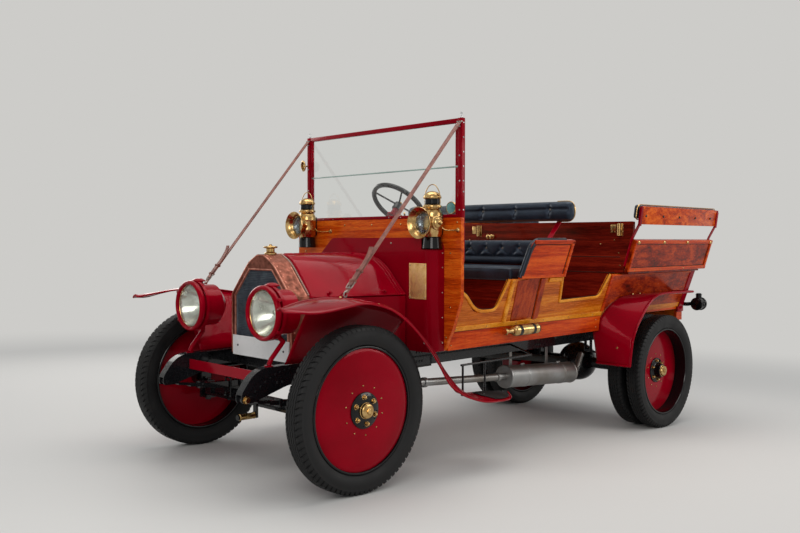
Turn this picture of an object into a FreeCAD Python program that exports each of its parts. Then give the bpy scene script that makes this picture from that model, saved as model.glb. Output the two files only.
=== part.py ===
"""Open wagonette body on a light lorry chassis of about 1917, as a parametric FreeCAD document.

Millimetres, +Z up, +X forward, +Y to the car's left.  The origin is on the ground, in the middle of
the car's footprint.  Wheels, axles and steering stand level on the ground.  Frame and body are drawn
in the frame's own directions, with X counted from the front axle and Z from the ground under it, and
are then tilted together about the front wheel's centre by rake_angle, because the unladen car stands
higher at the back.
"""
import FreeCAD, Part
import math
import os
import re
from types import SimpleNamespace

import Sketcher
from FreeCAD import Placement, Rotation, Vector

DIMENSIONS = [
    # name, value, what it measures
    ("origin_x", 0, "front axle ahead of the car's origin, set from the finished footprint"),
    ("rake_angle", 2.53, "degrees that frame and body stand higher at the back"),
    ("wheelbase", 2976, "front wheel centre to rear wheel centre"),
    ("tyre_radius", 410, "all tyres"),
    ("tyre_width", 110, "all tyres"),
    ("rim_radius", 312, "outside of the rim barrel"),
    ("rim_wall", 10, "thickness of the rim barrel"),
    ("front_track_half", 717, "front tyre's middle plane from the centre line"),
    ("rear_track_half", 640, "middle plane of the rear twin tyres from the centre line"),
    ("twin_spacing", 150, "middle planes of the two rear tyres apart"),
    ("disc_thickness", 6, "pressed wheel disc"),
    ("front_disc_offset", 36, "front disc outboard of the tyre's middle plane"),
    ("rear_disc_recess", 88, "rear disc inboard of the outer rim's edge"),
    ("hub_radius", 52, "hub barrel"),
    ("hub_flange_radius", 88, "hub flange that clamps the disc"),
    ("hub_reach", 88, "hub cap outboard of the front tyre's middle plane"),
    ("spindle_radius", 20, "front spindle"),
    ("half_shaft_radius", 26, "rear axle end"),
    ("running_gap", 0.06, "radial clearance of turning fits"),
    ("axle_top", 372, "top of the front axle beam above the ground"),
    ("axle_depth", 60, "front axle beam"),
    ("axle_width", 46, "front axle beam"),
    ("kingpin_half", 628, "kingpin from the centre line"),
    ("kingpin_radius", 10, "kingpin"),
    ("boss_radius", 22, "kingpin boss at the axle's end"),
    ("yoke_gap", 6, "between the axle's boss and the yoke's plates"),
    ("yoke_plate", 16, "yoke plates of the knuckle"),
    ("steer_arm_length", 150, "steering arm behind the kingpin"),
    ("tie_rod_radius", 11, "track rod"),
    ("rear_axle_radius", 42, "rear axle tube"),
    ("final_drive_radius", 150, "differential housing"),
    ("rail_inner", 345, "inside face of a frame rail from the centre line"),
    ("rail_width", 50, "frame rail flange"),
    ("rail_depth", 100, "frame rail web"),
    ("rail_wall", 6, "frame rail sheet"),
    ("rail_top", 610, "top of the frame rails"),
    ("rail_front", 180, "where the dumb iron begins to curve down"),
    ("rail_rear", -3500, "rear end of the frame"),
    ("spring_half_span", 430, "spring eye from the axle"),
    ("front_eye_height", 466, "front spring eyes above the ground"),
    ("front_pad_height", 390, "underside of the front springs"),
    ("rear_eye_height", 440, "rear spring eyes, in the frame's directions"),
    ("rear_pad_height", 345, "underside of the rear springs, in the frame's directions"),
    ("leaf_thickness", 7, "one spring leaf"),
    ("leaf_width", 38, "spring leaves"),
    ("radiator_front", 68, "front face of the radiator"),
    ("radiator_rear", -50, "rear edge of the radiator's shell"),
    ("radiator_base", 600, "underside of the radiator"),
    ("radiator_half", 275, "half width of the radiator"),
    ("radiator_shoulder", 930, "top of the radiator's upright sides"),
    ("radiator_top", 1155, "top of the header tank"),
    ("radiator_crown_half", 48, "half width of the header tank's crown"),
    ("radiator_rim", 32, "copper border round the core"),
    ("core_top", 1073, "top of the honeycomb core"),
    ("core_top_half", 105, "half width of the core's top"),
    ("core_recess", 22, "core behind the radiator's front face"),
    ("core_depth", 60, "honeycomb core"),
    ("bonnet_front", -54, "front edge of the bonnet"),
    ("bonnet_rear", -640, "rear edge of the bonnet"),
    ("bonnet_rear_half", 405, "half width of the bonnet at its rear"),
    ("bonnet_rear_crown", 120, "half width of the bonnet's flat crown at its rear"),
    ("bonnet_hem", 925, "lower edge of the lifting bonnet sides"),
    ("bonnet_sheet", 4, "bonnet panels"),
    ("bonnet_gap", 6, "bonnet to its neighbours"),
    ("hinge_height", 1153, "pin of the bonnet's centre hinge"),
    ("hinge_radius", 3.5, "pin of the bonnet's centre hinge"),
    ("scuttle_front", -652, "front face of the red dash casing"),
    ("scuttle_half", 595, "half width of the dash casing"),
    ("scuttle_top", 1246, "top of the dash casing"),
    ("scuttle_base", 610, "underside of the dash casing"),
    ("scuttle_sheet", 4, "dash casing sheet"),
    ("scuttle_corner", 60, "round of the dash casing's upright corners"),
    ("dash_front", -750, "front face of the wooden dashboard"),
    ("dash_thickness", 26, "wooden dashboard"),
    ("dash_half", 717, "half width of the dashboard"),
    ("dash_top", 1356, "top of the dashboard"),
    ("dash_base", 610, "bottom of the dashboard"),
    ("dash_turn_in", 905, "where the dashboard's side begins to curve in"),
    ("screen_half", 668, "windscreen post from the centre line"),
    ("screen_plane", -808, "middle of the windscreen frame"),
    ("screen_bar", 30, "windscreen frame tube"),
    ("screen_base", 1366, "windscreen bottom bar"),
    ("screen_split", 1641, "bar between the two panes"),
    ("screen_top", 1908, "windscreen top bar"),
    ("post_foot", 1112, "lower end of the windscreen posts"),
    ("glass_thickness", 5, "windscreen panes"),
    ("strap_width", 30, "leather stay straps"),
    ("strap_thickness", 4, "leather stay straps"),
    ("strap_foot_x", 20, "strap hook on the front guard"),
    ("strap_foot_y", 640, "strap hook from the centre line"),
    ("strap_foot_z", 962, "strap hook above the ground"),
    ("headlamp_x", 267, "rim of the headlamps"),
    ("headlamp_y", 343, "headlamps from the centre line"),
    ("headlamp_z", 871, "centre of the headlamps"),
    ("headlamp_radius", 137, "headlamp rim"),
    ("headlamp_depth", 165, "headlamp drum behind its rim"),
    ("headlamp_wall", 4, "headlamp sheet"),
    ("side_lamp_x", -583, "bezel of the oil lamps"),
    ("side_lamp_y", 556, "oil lamps from the centre line"),
    ("side_lamp_z", 1326, "centre of the oil lamps"),
    ("side_lamp_radius", 88, "bezel of the oil lamps"),
    ("lamp_body_reach", 110, "oil lamp's body behind its bezel"),
    ("font_radius", 56, "oil lamp's font"),
    ("font_drop", 142, "foot of the font below the oil lamp's centre"),
    ("column_angle", 47, "degrees of the steering column above the horizontal"),
    ("column_radius", 19, "steering column tube"),
    ("wheel_hub_x", -1268, "steering wheel centre"),
    ("wheel_hub_y", -295, "steering wheel centre, right-hand drive"),
    ("wheel_hub_z", 1467, "steering wheel centre"),
    ("steering_radius", 190, "middle of the steering wheel's rim"),
    ("steering_rim", 16, "radius of the steering wheel's rim"),
    ("crank_height", 455, "starting handle shaft"),
    ("crank_throw", 165, "starting handle"),
    ("crank_arm_x", 96, "arm of the starting handle"),
    ("crank_grip", 110, "grip of the starting handle"),
    ("side_base_y", 600, "outside of the body at its sill"),
    ("sill_base", 612, "bottom of the sill board"),
    ("sill_top", 715, "top of the sill board"),
    ("side_top", 1003, "top of the body's lower side"),
    ("side_flare", 100, "outward lean of the lower side over its height"),
    ("board", 20, "wooden panels"),
    ("body_rear", -3510, "rear end of the body's lower side"),
    ("floor_top", 740, "top of the floor boards"),
    ("floor_board", 20, "floor boards"),
    ("arch_front", -2330, "front of the rear wheel arch in the sill"),
    ("arch_rear", -3425, "rear of the rear wheel arch in the sill"),
    ("seat_front", -1285, "front edge of the driver's bench"),
    ("seat_rear", -1737, "back of the driver's bench"),
    ("seat_height", 250, "top of the bench carcass above the floor"),
    ("seat_half", 700, "inside of the arm panels at their foot"),
    ("arm_height", 232, "top of the arm panels above the body's lower side"),
    ("arm_lean_x", 55, "rearward lean of the arm panels over their height"),
    ("arm_lean_y", 40, "outward lean of the arm panels over their height"),
    ("cushion_height", 84, "bench cushion"),
    ("squab_depth", 80, "buttoned squab of the bench"),
    ("bolster_x", -1812, "middle of the upper back roll"),
    ("bolster_rise", 349, "underside of the upper back roll above the body's lower side"),
    ("bolster_height", 132, "upper back roll"),
    ("bolster_depth", 90, "upper back roll"),
    ("bolster_half", 735, "half width of the upper back roll"),
    ("partition_x", -2420, "front face of the cross board"),
    ("partition_height", 359, "top of the cross board above the body's lower side"),
    ("partition_half_top", 800, "half width of the cross board at its top"),
    ("bench_ledge", 13, "top of the rear bench above the body's lower side"),
    ("flare_base_y", 752, "outside of the flared panels at their foot"),
    ("flare_height", 220, "flared rear panels"),
    ("flare_top_y", 817, "outside of the flared panels at their top"),
    ("flare_rear", -3560, "rear end of the flared panels"),
    ("seat_rail_rise", 337, "underside of the upper rails above the body's lower side"),
    ("seat_rail_height", 122, "upper rails"),
    ("seat_rail_front", -2400, "front end of the upper rails"),
    ("seat_rail_rear", -3556, "rear end of the upper rails"),
    ("seat_rail_y", 850, "outside of the upper rails at their foot"),
    ("seat_rail_lean", 17, "outward lean of the upper rails over their height"),
    ("iron_thickness", 6, "flat irons"),
    ("iron_width", 30, "flat irons of the upper rails"),
    ("rear_bench_inner", 400, "inner edge of the rear benches"),
    ("guard_sheet", 3, "mudguards"),
    ("stay_radius", 6, "hanger rods of the front mudguards' tails"),
    ("front_guard_outer", 832, "outer edge of the front mudguards"),
    ("front_guard_inner", 600, "inner edge of the front mudguards"),
    ("rear_guard_outer", 822, "outer edge of the rear mudguards"),
    ("rear_guard_inner", 560, "inner edge of the rear flaps"),
    ("exhaust_y", 450, "exhaust from the centre line"),
    ("pipe_radius", 22, "exhaust pipe"),
    ("silencer_radius", 70, "silencer"),
    ("extinguisher_radius", 34, "brass fire extinguisher"),
]

doc = FreeCAD.newDocument("wagonette")
sheet = doc.addObject("Spreadsheet::Sheet", "Dims")
for row, (size_name, size_value, meaning) in enumerate(DIMENSIONS, start=1):
    sheet.set(f"A{row}", size_name)
    sheet.set(f"B{row}", str(size_value))
    sheet.set(f"C{row}", meaning)
    sheet.setAlias(f"B{row}", size_name)
doc.recompute()
d = SimpleNamespace(**{name: float(sheet.get(name)) for name, _, _ in DIMENSIONS})
HEIGHTS = {
    # heights above the ground that add up from the table, as formulas
    "seat_top": "floor_top + seat_height",
    "arm_top": "side_top + arm_height",
    "flare_base": "side_top + bench_ledge",
    "flare_top": "side_top + bench_ledge + flare_height",
    "partition_top": "side_top + partition_height",
    "seat_rail_base": "side_top + seat_rail_rise",
    "seat_rail_top": "side_top + seat_rail_rise + seat_rail_height",
    "bolster_base": "side_top + bolster_rise",
    "bolster_top": "side_top + bolster_rise + bolster_height",
}
ALIAS = re.compile(r"\b(" + "|".join(sorted(vars(d), key=len, reverse=True)) + r")\b")
gauge = doc.addObject("App::FeaturePython", "gauge")
gauge.addProperty("App::PropertyFloat", "Reading")
nodes = []


# ---------------------------------------------------------------- drawing helpers
def formula(text):
    """Expression text with every named size pointing at the sheet."""
    for name, height in HEIGHTS.items():
        text = re.sub(rf"\b{name}\b", f"({height})", str(text))
    return ALIAS.sub(r"Dims.\1", text)


def number(text):
    """The same formula worked out now, to draw a sketch near its final shape."""
    gauge.setExpression("Reading", formula(text))
    gauge.recompute()
    return gauge.Reading


for height_name in HEIGHTS:
    setattr(d, height_name, number(height_name))


def box(name, x, y, z):
    """Block between two planes along each axis; every plane is a formula."""
    block = doc.addObject("Part::Box", name)
    for side, axis, (low, high) in (("Length", "x", x), ("Width", "y", y), ("Height", "z", z)):
        block.setExpression(side, formula(f"({high}) - ({low})"))
        block.setExpression(f"Placement.Base.{axis}", formula(low))
    return block


TURNS = {
    "x": Rotation(Vector(0, 1, 0), 90),
    "-x": Rotation(Vector(0, 1, 0), -90),
    "y": Rotation(Vector(1, 0, 0), -90),
    "-y": Rotation(Vector(1, 0, 0), 90),
    "z": Rotation(),
    "-z": Rotation(Vector(1, 0, 0), 180),
}


def put(thing, at, along="z"):
    """Stand a round piece at a point, its own Z turned to an axis."""
    thing.Placement = Placement(Vector(), TURNS[along])
    for axis, text in zip("xyz", at):
        thing.setExpression(f"Placement.Base.{axis}", formula(text))
    return thing


def rod(name, radius, length, at, along="z"):
    """Round bar from a point along an axis."""
    bar = doc.addObject("Part::Cylinder", name)
    bar.setExpression("Radius", formula(radius))
    bar.setExpression("Height", formula(length))
    return put(bar, at, along)


def outline_sketch(body, name, role, corners):
    """Closed sketch of straight sides whose corners are formulas, on one of the body's planes."""
    plane = [item for item in body.Origin.OriginFeatures if item.Role == role][0]
    sketch = body.newObject("Sketcher::SketchObject", name + "_outline")
    sketch.AttachmentSupport = (plane, [""])
    sketch.MapMode = "FlatFace"
    spots = [Vector(number(u), number(v), 0) for u, v in corners]
    count = len(spots)
    for side in range(count):
        sketch.addGeometry(Part.LineSegment(spots[side], spots[(side + 1) % count]), False)
    for side in range(count):
        sketch.addConstraint(Sketcher.Constraint("Coincident", side, 2, (side + 1) % count, 1))
    for side, (corner, spot) in enumerate(zip(corners, spots)):
        for kind, text, value in zip(("DistanceX", "DistanceY"), corner, (spot.x, spot.y)):
            made = sketch.addConstraint(Sketcher.Constraint(kind, -1, 1, side, 1, value))
            sketch.setExpression(f"Constraints[{made}]", formula(text))
    return sketch


def turned(name, corners, at=("0", "0", "0"), along="z"):
    """Body of revolution from corners (radius, height along its axis)."""
    body = doc.addObject("PartDesign::Body", name)
    sketch = outline_sketch(body, name, "XZ_Plane", corners)
    turn = body.newObject("PartDesign::Revolution", name + "_turn")
    turn.Profile = sketch
    turn.ReferenceAxis = (sketch, ["V_Axis"])
    turn.Angle = 360
    return put(body, at, along)


def rounded(corners, at):
    """Closed wire through corners (u, v, radius); a corner with a radius is a tangent arc."""
    spots = [at(u, v) for u, v, _ in corners]
    radii = [radius for _, _, radius in corners]
    count = len(spots)
    ends = []
    for index in range(count):
        here = spots[index]
        back = (spots[index - 1] - here).normalize()
        ahead = (spots[(index + 1) % count] - here).normalize()
        half = math.acos(max(-1, min(1, back * ahead))) / 2
        if radii[index] > 0 and half < math.pi / 2 - 1e-4:
            reach = radii[index] / math.tan(half)
            middle = here + (back + ahead).normalize() * (radii[index] / math.sin(half) - radii[index])
            ends.append((here + back * reach, middle, here + ahead * reach))
        else:
            ends.append((here, None, here))
    edges = []
    for index in range(count):
        first, middle, last = ends[index]
        if middle is not None:
            edges.append(Part.Arc(first, middle, last).toShape())
        following = ends[(index + 1) % count][0]
        if last.distanceToPoint(following) > 1e-6:
            edges.append(Part.LineSegment(last, following).toShape())
    return Part.Wire(edges)


def side_view(y):
    return lambda x, z: Vector(x, y, z)


def front_view(x):
    return lambda y, z: Vector(x, y, z)


def top_view(z):
    return lambda x, y: Vector(x, y, z)


def prism(corners, at, reach, holes=()):
    """Solid between an outline and its copy moved by reach, with holes cut."""
    face = Part.Face([rounded(corners, at)] + [rounded(hole, at) for hole in holes])
    return face.extrude(reach)


def bar(points, radius):
    """Round bar along straight runs, with balls of the same size at its bends."""
    solid = None
    for start, end in zip(points, points[1:]):
        run = Part.makeCylinder(radius, (end - start).Length, start, end - start)
        solid = run if solid is None else solid.fuse([run, Part.makeSphere(radius, start)])
    return solid.removeSplitter()


def mirrored(shape):
    """The same piece on the other side of the car."""
    return shape.mirror(Vector(), Vector(0, 1, 0))


def pair(shape):
    return [shape, mirrored(shape)]


def feature(name, *shapes):
    """Piece whose lofted or bent shape no primitive gives."""
    made = doc.addObject("Part::Feature", name)
    made.Shape = shapes[0] if len(shapes) == 1 else Part.makeCompound(list(shapes))
    return made


def joined(name, *pieces):
    fused = doc.addObject("Part::MultiFuse", name)
    fused.Shapes = list(pieces)
    return fused


def cut(name, base, *tools):
    tool = tools[0] if len(tools) == 1 else joined(name + "_tools", *tools)
    result = doc.addObject("Part::Cut", name)
    result.Base = base
    result.Tool = tool
    return result


def group(name, *pieces):
    """Like pieces that don't touch, kept together."""
    compound = doc.addObject("Part::Compound", name)
    compound.Links = list(pieces)
    return compound


def tilted(part):
    """Tilt a piece of frame or body about the front wheel's centre, and move it to the car's origin."""
    turn = Rotation(Vector(0, 1, 0), d.rake_angle)
    part.Placement = Placement(Vector(), turn)
    part.setExpression("Placement.Rotation.Angle", formula("rake_angle"))
    part.setExpression("Placement.Base.x", formula("origin_x - tyre_radius * sin(rake_angle * 1 deg)"))
    part.setExpression("Placement.Base.z", formula("tyre_radius * (1 - cos(rake_angle * 1 deg))"))
    return part


def level(part):
    """Move a piece that stands on the ground to the car's origin."""
    part.setExpression("Placement.Base.x", formula("origin_x"))
    return part


def node(part, label, tilt=True):
    """Name a finished piece; pieces already placed by themselves are wrapped first."""
    if part.TypeId in ("Part::Box", "Part::Cylinder", "PartDesign::Body"):
        part = group(label, part)
    part.Label = label
    nodes.append(tilted(part) if tilt else level(part))
    return part


# ---------------------------------------------------------------- frame, axles and running gear
def frame_rail(side):
    """Pressed channel with a dumb iron curving down to the front spring's eye."""
    low = d.rail_top - d.rail_depth
    eye_x = d.spring_half_span
    tip = eye_x + 26
    corners = [
        (d.rail_rear, low, 0), (d.rail_front, low, 180), (eye_x - 40, d.front_eye_height - 18, 20),
        (tip, d.front_eye_height - 18, 18), (tip, d.front_eye_height + 30, 60),
        (d.rail_front + 190, d.rail_top, 150), (d.rail_rear, d.rail_top, 0),
    ]
    outer = prism(corners, side_view(d.rail_inner), Vector(0, d.rail_width, 0))
    hollow = Part.makeBox(
        d.rail_front - d.rail_rear, d.rail_width, d.rail_depth - 2 * d.rail_wall,
        Vector(d.rail_rear - 1, d.rail_inner - d.rail_wall, low + d.rail_wall))
    slot_start = Vector(eye_x - 84, d.rail_inner + spring_offset(), d.front_eye_height - 60)
    slot = Part.makeBox(130, d.leaf_width + 2, 84, slot_start)
    bolt = Part.makeCylinder(
        8, d.rail_width + 24, Vector(eye_x, d.rail_inner - 12, d.front_eye_height), Vector(0, 1, 0))
    rail = outer.cut(hollow).cut(slot).fuse(bolt).removeSplitter()
    return rail if side > 0 else mirrored(rail)


def spring_offset():
    """Side play of a spring between the ears that hold it."""
    return (d.rail_width - d.leaf_width - 2) / 2


def chassis_frame():
    rails = [feature("left_rail", frame_rail(1)), feature("right_rail", frame_rail(-1))]
    members = [
        box(f"cross_member_{index}", (f"{x} - 30", f"{x} + 30"),
            ("-rail_inner - rail_width + rail_wall", "rail_inner + rail_width - rail_wall"),
            ("rail_top - 72", "radiator_base - 0.3"))
        for index, x in enumerate((20, -760, -1900, -2500, -3440))
    ]
    bearing = rod("handle_bearing", "24", "70", ("20", "0", "crank_height"), "x")
    hanger = box("bearing_hanger", ("22", "48"), ("-22", "22"), ("crank_height", "rail_top - 14"))
    bore = rod("handle_bore", "13 + running_gap", "120", ("0", "0", "crank_height"), "x")
    frame = joined("frame_joined", *rails, *members, bearing, hanger)
    node(cut("frame_cut", frame, bore), "chassis_frame")


def front_apron():
    """Red sheet across the front, between the dumb irons."""
    reach = "(rail_inner - 0.3)"
    node(box("apron", ("294", "298"), (f"-{reach}", reach), ("524", "578")), "front_apron")


def leaf_spring(middle_x, pad, eye, leaves):
    """Half-elliptic pack on one side: arched leaves, eyes, bolt and rear shackle."""
    sag = eye - pad - leaves * d.leaf_thickness
    radius = (d.spring_half_span ** 2 + sag ** 2) / (2 * sag)
    low_y = d.rail_inner + spring_offset() + 1
    top = pad + leaves * d.leaf_thickness
    centre = Vector(middle_x, low_y, top + radius)
    pack = None
    for index in range(leaves):
        outer = radius + d.leaf_thickness * (index + 1)
        half = math.asin(d.spring_half_span / radius) * (1 - 0.17 * index)
        ring = Part.makeCylinder(outer, d.leaf_width, centre, Vector(0, 1, 0))
        ring = ring.cut(Part.makeCylinder(outer - d.leaf_thickness, d.leaf_width, centre, Vector(0, 1, 0)))
        reach = outer * math.sin(half)
        window = Part.makeBox(2 * reach, d.leaf_width, 2 * sag + 100,
                              Vector(middle_x - reach, low_y, pad - 20))
        leaf = ring.common(window)
        pack = leaf if pack is None else pack.fuse(leaf)
    for end in (1, -1):
        spot = Vector(middle_x + end * d.spring_half_span, low_y, eye)
        pack = pack.fuse(Part.makeCylinder(15, d.leaf_width, spot, Vector(0, 1, 0)))
    return pack, low_y


def leaf_springs():
    solids = []
    rear_x = -d.wheelbase
    for middle_x, pad, eye, leaves in ((0, d.front_pad_height, d.front_eye_height, 5),
                                       (rear_x, d.rear_pad_height, d.rear_eye_height, 6)):
        pack, low_y = leaf_spring(middle_x, pad, eye, leaves)
        front = Vector(middle_x + d.spring_half_span, low_y - 1, eye)
        rear = Vector(middle_x - d.spring_half_span, d.rail_inner, eye)
        top = d.rail_top - d.rail_depth
        for offset in (0, d.rail_width - 5):
            shackle = Part.makeBox(30, 5, top - eye + 14, rear + Vector(-15, offset, -14))
            pack = pack.fuse(shackle)
        pack = pack.fuse(Part.makeCylinder(7, d.rail_width, rear, Vector(0, 1, 0)))
        if middle_x == 0:
            pack = pack.cut(Part.makeCylinder(8.3, d.leaf_width + 4, front, Vector(0, 1, 0)))
        else:
            for offset in (0, d.rail_width - 5):
                ear = Part.makeBox(30, 5, top - eye + 14,
                                   Vector(front.x - 15, d.rail_inner + offset, eye - 14))
                pack = pack.fuse(ear)
            pack = pack.fuse(Part.makeCylinder(
                7, d.rail_width, Vector(front.x, d.rail_inner, eye), Vector(0, 1, 0)))
        solids += pair(pack.removeSplitter())
    node(group("spring_group", *[feature(f"spring_{index}", solid) for index, solid in enumerate(solids)]),
         "leaf_springs")


def spring_pad(x, height, low):
    """Pad that an axle's spring sits on, in the frame's directions, cut level with the axle."""
    turn = Placement(Vector(), Rotation(Vector(0, 1, 0), d.rake_angle), Vector(0, 0, d.tyre_radius))
    pads = []
    for y in (-d.rail_inner - d.rail_width, d.rail_inner):
        pad = Part.makeBox(90, d.rail_width, height - low, Vector(x - 45, y, low))
        pad.Placement = turn
        pads.append(pad)
    return pads


def front_axle():
    beam = box("axle_beam", ("-axle_width / 2", "axle_width / 2"), ("-kingpin_half", "kingpin_half"),
               ("axle_top - axle_depth", "axle_top"))
    bosses = [rod(f"boss_{side}", "boss_radius", "axle_depth",
                  ("0", f"{sign}kingpin_half", "axle_top - axle_depth"))
              for side, sign in (("left", ""), ("right", "-"))]
    pads = [feature(f"front_pad_{index}", pad)
            for index, pad in enumerate(spring_pad(0, d.front_pad_height, d.axle_top - 12))]
    webs = [box(f"beam_web_{side}", (low, high), ("-kingpin_half + 60", "kingpin_half - 60"),
                ("axle_top - axle_depth + 14", "axle_top - 14"))
            for side, low, high in (("front", "8", "axle_width"), ("rear", "-axle_width", "-8"))]
    bores = [rod(f"boss_bore_{side}", "kingpin_radius + running_gap", "axle_depth + 40",
                 ("0", f"{sign}kingpin_half", "axle_top - axle_depth - 20"))
             for side, sign in (("left", ""), ("right", "-"))]
    axle = cut("axle_bored", joined("axle_joined", beam, *bosses, *pads), *webs, *bores)
    node(axle, "front_axle", tilt=False)


REAR_PAD_DEPTH = 60


def rear_axle():
    tube = rod("axle_tube", "rear_axle_radius", "2 * (rear_track_half - twin_spacing / 2 - 75)",
               ("-wheelbase", "-rear_track_half + twin_spacing / 2 + 75", "tyre_radius"), "y")
    casing = doc.addObject("Part::Sphere", "final_drive")
    casing.setExpression("Radius", formula("final_drive_radius"))
    put(casing, ("-wheelbase", "0", "tyre_radius"))
    shaft = rod("half_shafts", "half_shaft_radius", "2 * (rear_track_half + twin_spacing / 2 - 10)",
                ("-wheelbase", "-rear_track_half - twin_spacing / 2 + 10", "tyre_radius"), "y")
    pads = [feature(f"rear_pad_{index}", pad)
            for index, pad in enumerate(spring_pad(-d.wheelbase, d.rear_pad_height,
                                                   d.rear_pad_height - REAR_PAD_DEPTH))]
    node(joined("rear_axle_joined", tube, casing, shaft, *pads), "rear_axle", tilt=False)


def engine_and_transmission():
    reach = "(rail_inner + rail_width - 40)"
    flange = "rail_top - rail_depth + rail_wall + 0.3"
    engine = box("engine", ("-600", "-110"), ("-140", "140"), ("505", "1000"))
    arms = [box(f"{name}_arms", (f"{x} - 24", f"{x} + 24"), (f"-{reach}", reach), (flange, f"{flange} + 32"))
            for name, x in (("engine", -560), ("gearbox", -980))]
    node(joined("engine_joined", engine, arms[0]), "engine_block")
    gearbox = box("gearbox", ("-1150", "-810"), ("-120", "120"), ("440", "600"))
    nose_x = -d.wheelbase + d.final_drive_radius + 30
    shaft = feature("propeller_shaft", bar([Vector(-1140, 0, 540), Vector(nose_x, 0, 300)], 26))
    node(joined("transmission_joined", gearbox, shaft, arms[1]), "transmission")


# ---------------------------------------------------------------- wheels
def tyre_solid(middle):
    """Beaded-edge tyre about the Y axis: flat tread, rounded shoulders, bulging walls."""
    half = d.tyre_width / 2
    foot = d.rim_radius + 0.3
    corners = [
        (middle - half * 0.62, foot, 4), (middle - half, d.rim_radius + 38, 26),
        (middle - half * 0.92, d.tyre_radius - 4, 20), (middle - half * 0.7, d.tyre_radius, 20),
        (middle + half * 0.7, d.tyre_radius, 20), (middle + half * 0.92, d.tyre_radius - 4, 20),
        (middle + half, d.rim_radius + 38, 26), (middle + half * 0.62, foot, 4),
    ]
    face = Part.Face(rounded([(y, r, 0) for y, r, _ in corners], lambda y, r: Vector(0, y, r)))
    return face.revolve(Vector(), Vector(0, 1, 0), 360)


def front_wheel_outline():
    """Half section of a front wheel, as (radius, outboard of the tyre's middle)."""
    bore = "spindle_radius + running_gap"
    face = "front_disc_offset"
    return [
        (bore, "-35"), ("hub_radius", "-35"), ("hub_radius", f"{face} - disc_thickness"),
        ("rim_radius - rim_wall", f"{face} - disc_thickness"),
        ("rim_radius - rim_wall", "-tyre_width / 2 * 0.7"), ("rim_radius", "-tyre_width / 2 * 0.7"),
        ("rim_radius", "tyre_width / 2 * 0.76"), ("rim_radius - rim_wall", "tyre_width / 2 * 0.76"),
        ("rim_radius - rim_wall", face), ("hub_flange_radius", face),
        ("hub_flange_radius", f"{face} + 7"), ("hub_radius - 14", f"{face} + 12"),
        ("hub_radius - 16", "hub_reach - 20"), ("hub_radius - 24", "hub_reach"), ("0", "hub_reach"),
        ("0", "hub_reach - 12"), (bore, "hub_reach - 12"),
    ]


def rear_wheel_outline():
    """Half section of a twin rear wheel, as (radius, outboard of the pair's middle)."""
    edge = "twin_spacing / 2 + tyre_width / 2 * 0.76"
    inner = "-twin_spacing / 2 - tyre_width / 2 * 0.76"
    face = f"{edge} - rear_disc_recess"
    bore = "half_shaft_radius + running_gap"
    return [
        (bore, "-60"), ("hub_radius + 16", "-60"), ("hub_radius + 16", f"{face} - disc_thickness"),
        ("rim_radius - rim_wall", f"{face} - disc_thickness"), ("rim_radius - rim_wall", inner),
        ("rim_radius", inner), ("rim_radius", edge), ("rim_radius - rim_wall", edge),
        ("rim_radius - rim_wall", face), ("hub_flange_radius", face),
        ("hub_flange_radius", f"{face} + 7"), ("hub_radius", f"{face} + 12"),
        ("hub_radius - 6", "twin_spacing / 2 + 20"), ("hub_radius - 16", "twin_spacing / 2 + 34"),
        ("0", "twin_spacing / 2 + 34"), ("0", "twin_spacing / 2 - 4"), (bore, "twin_spacing / 2 - 4"),
    ]


def wheels():
    sides = (("left", "", "y", 1), ("right", "-", "-y", -1))
    for side, sign, along, turn in sides:
        at = ("0", f"{sign}front_track_half", "tyre_radius")
        node(turned(f"{side}_front_disc", front_wheel_outline(), at, along), f"{side}_front_wheel",
             tilt=False)
        tyre = tyre_solid(0)
        tyre.translate(Vector(0, turn * d.front_track_half, d.tyre_radius))
        node(feature(f"{side}_front_rubber", tyre), f"{side}_front_tyre", tilt=False)

        at = ("-wheelbase", f"{sign}rear_track_half", "tyre_radius")
        node(turned(f"{side}_rear_disc", rear_wheel_outline(), at, along), f"{side}_rear_wheel",
             tilt=False)
        twins = []
        for offset in (-d.twin_spacing / 2, d.twin_spacing / 2):
            twin = tyre_solid(offset)
            twin.translate(Vector(-d.wheelbase, turn * d.rear_track_half, d.tyre_radius))
            twins.append(twin)
        node(feature(f"{side}_rear_rubber", *twins), f"{side}_rear_tyres", tilt=False)


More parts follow.
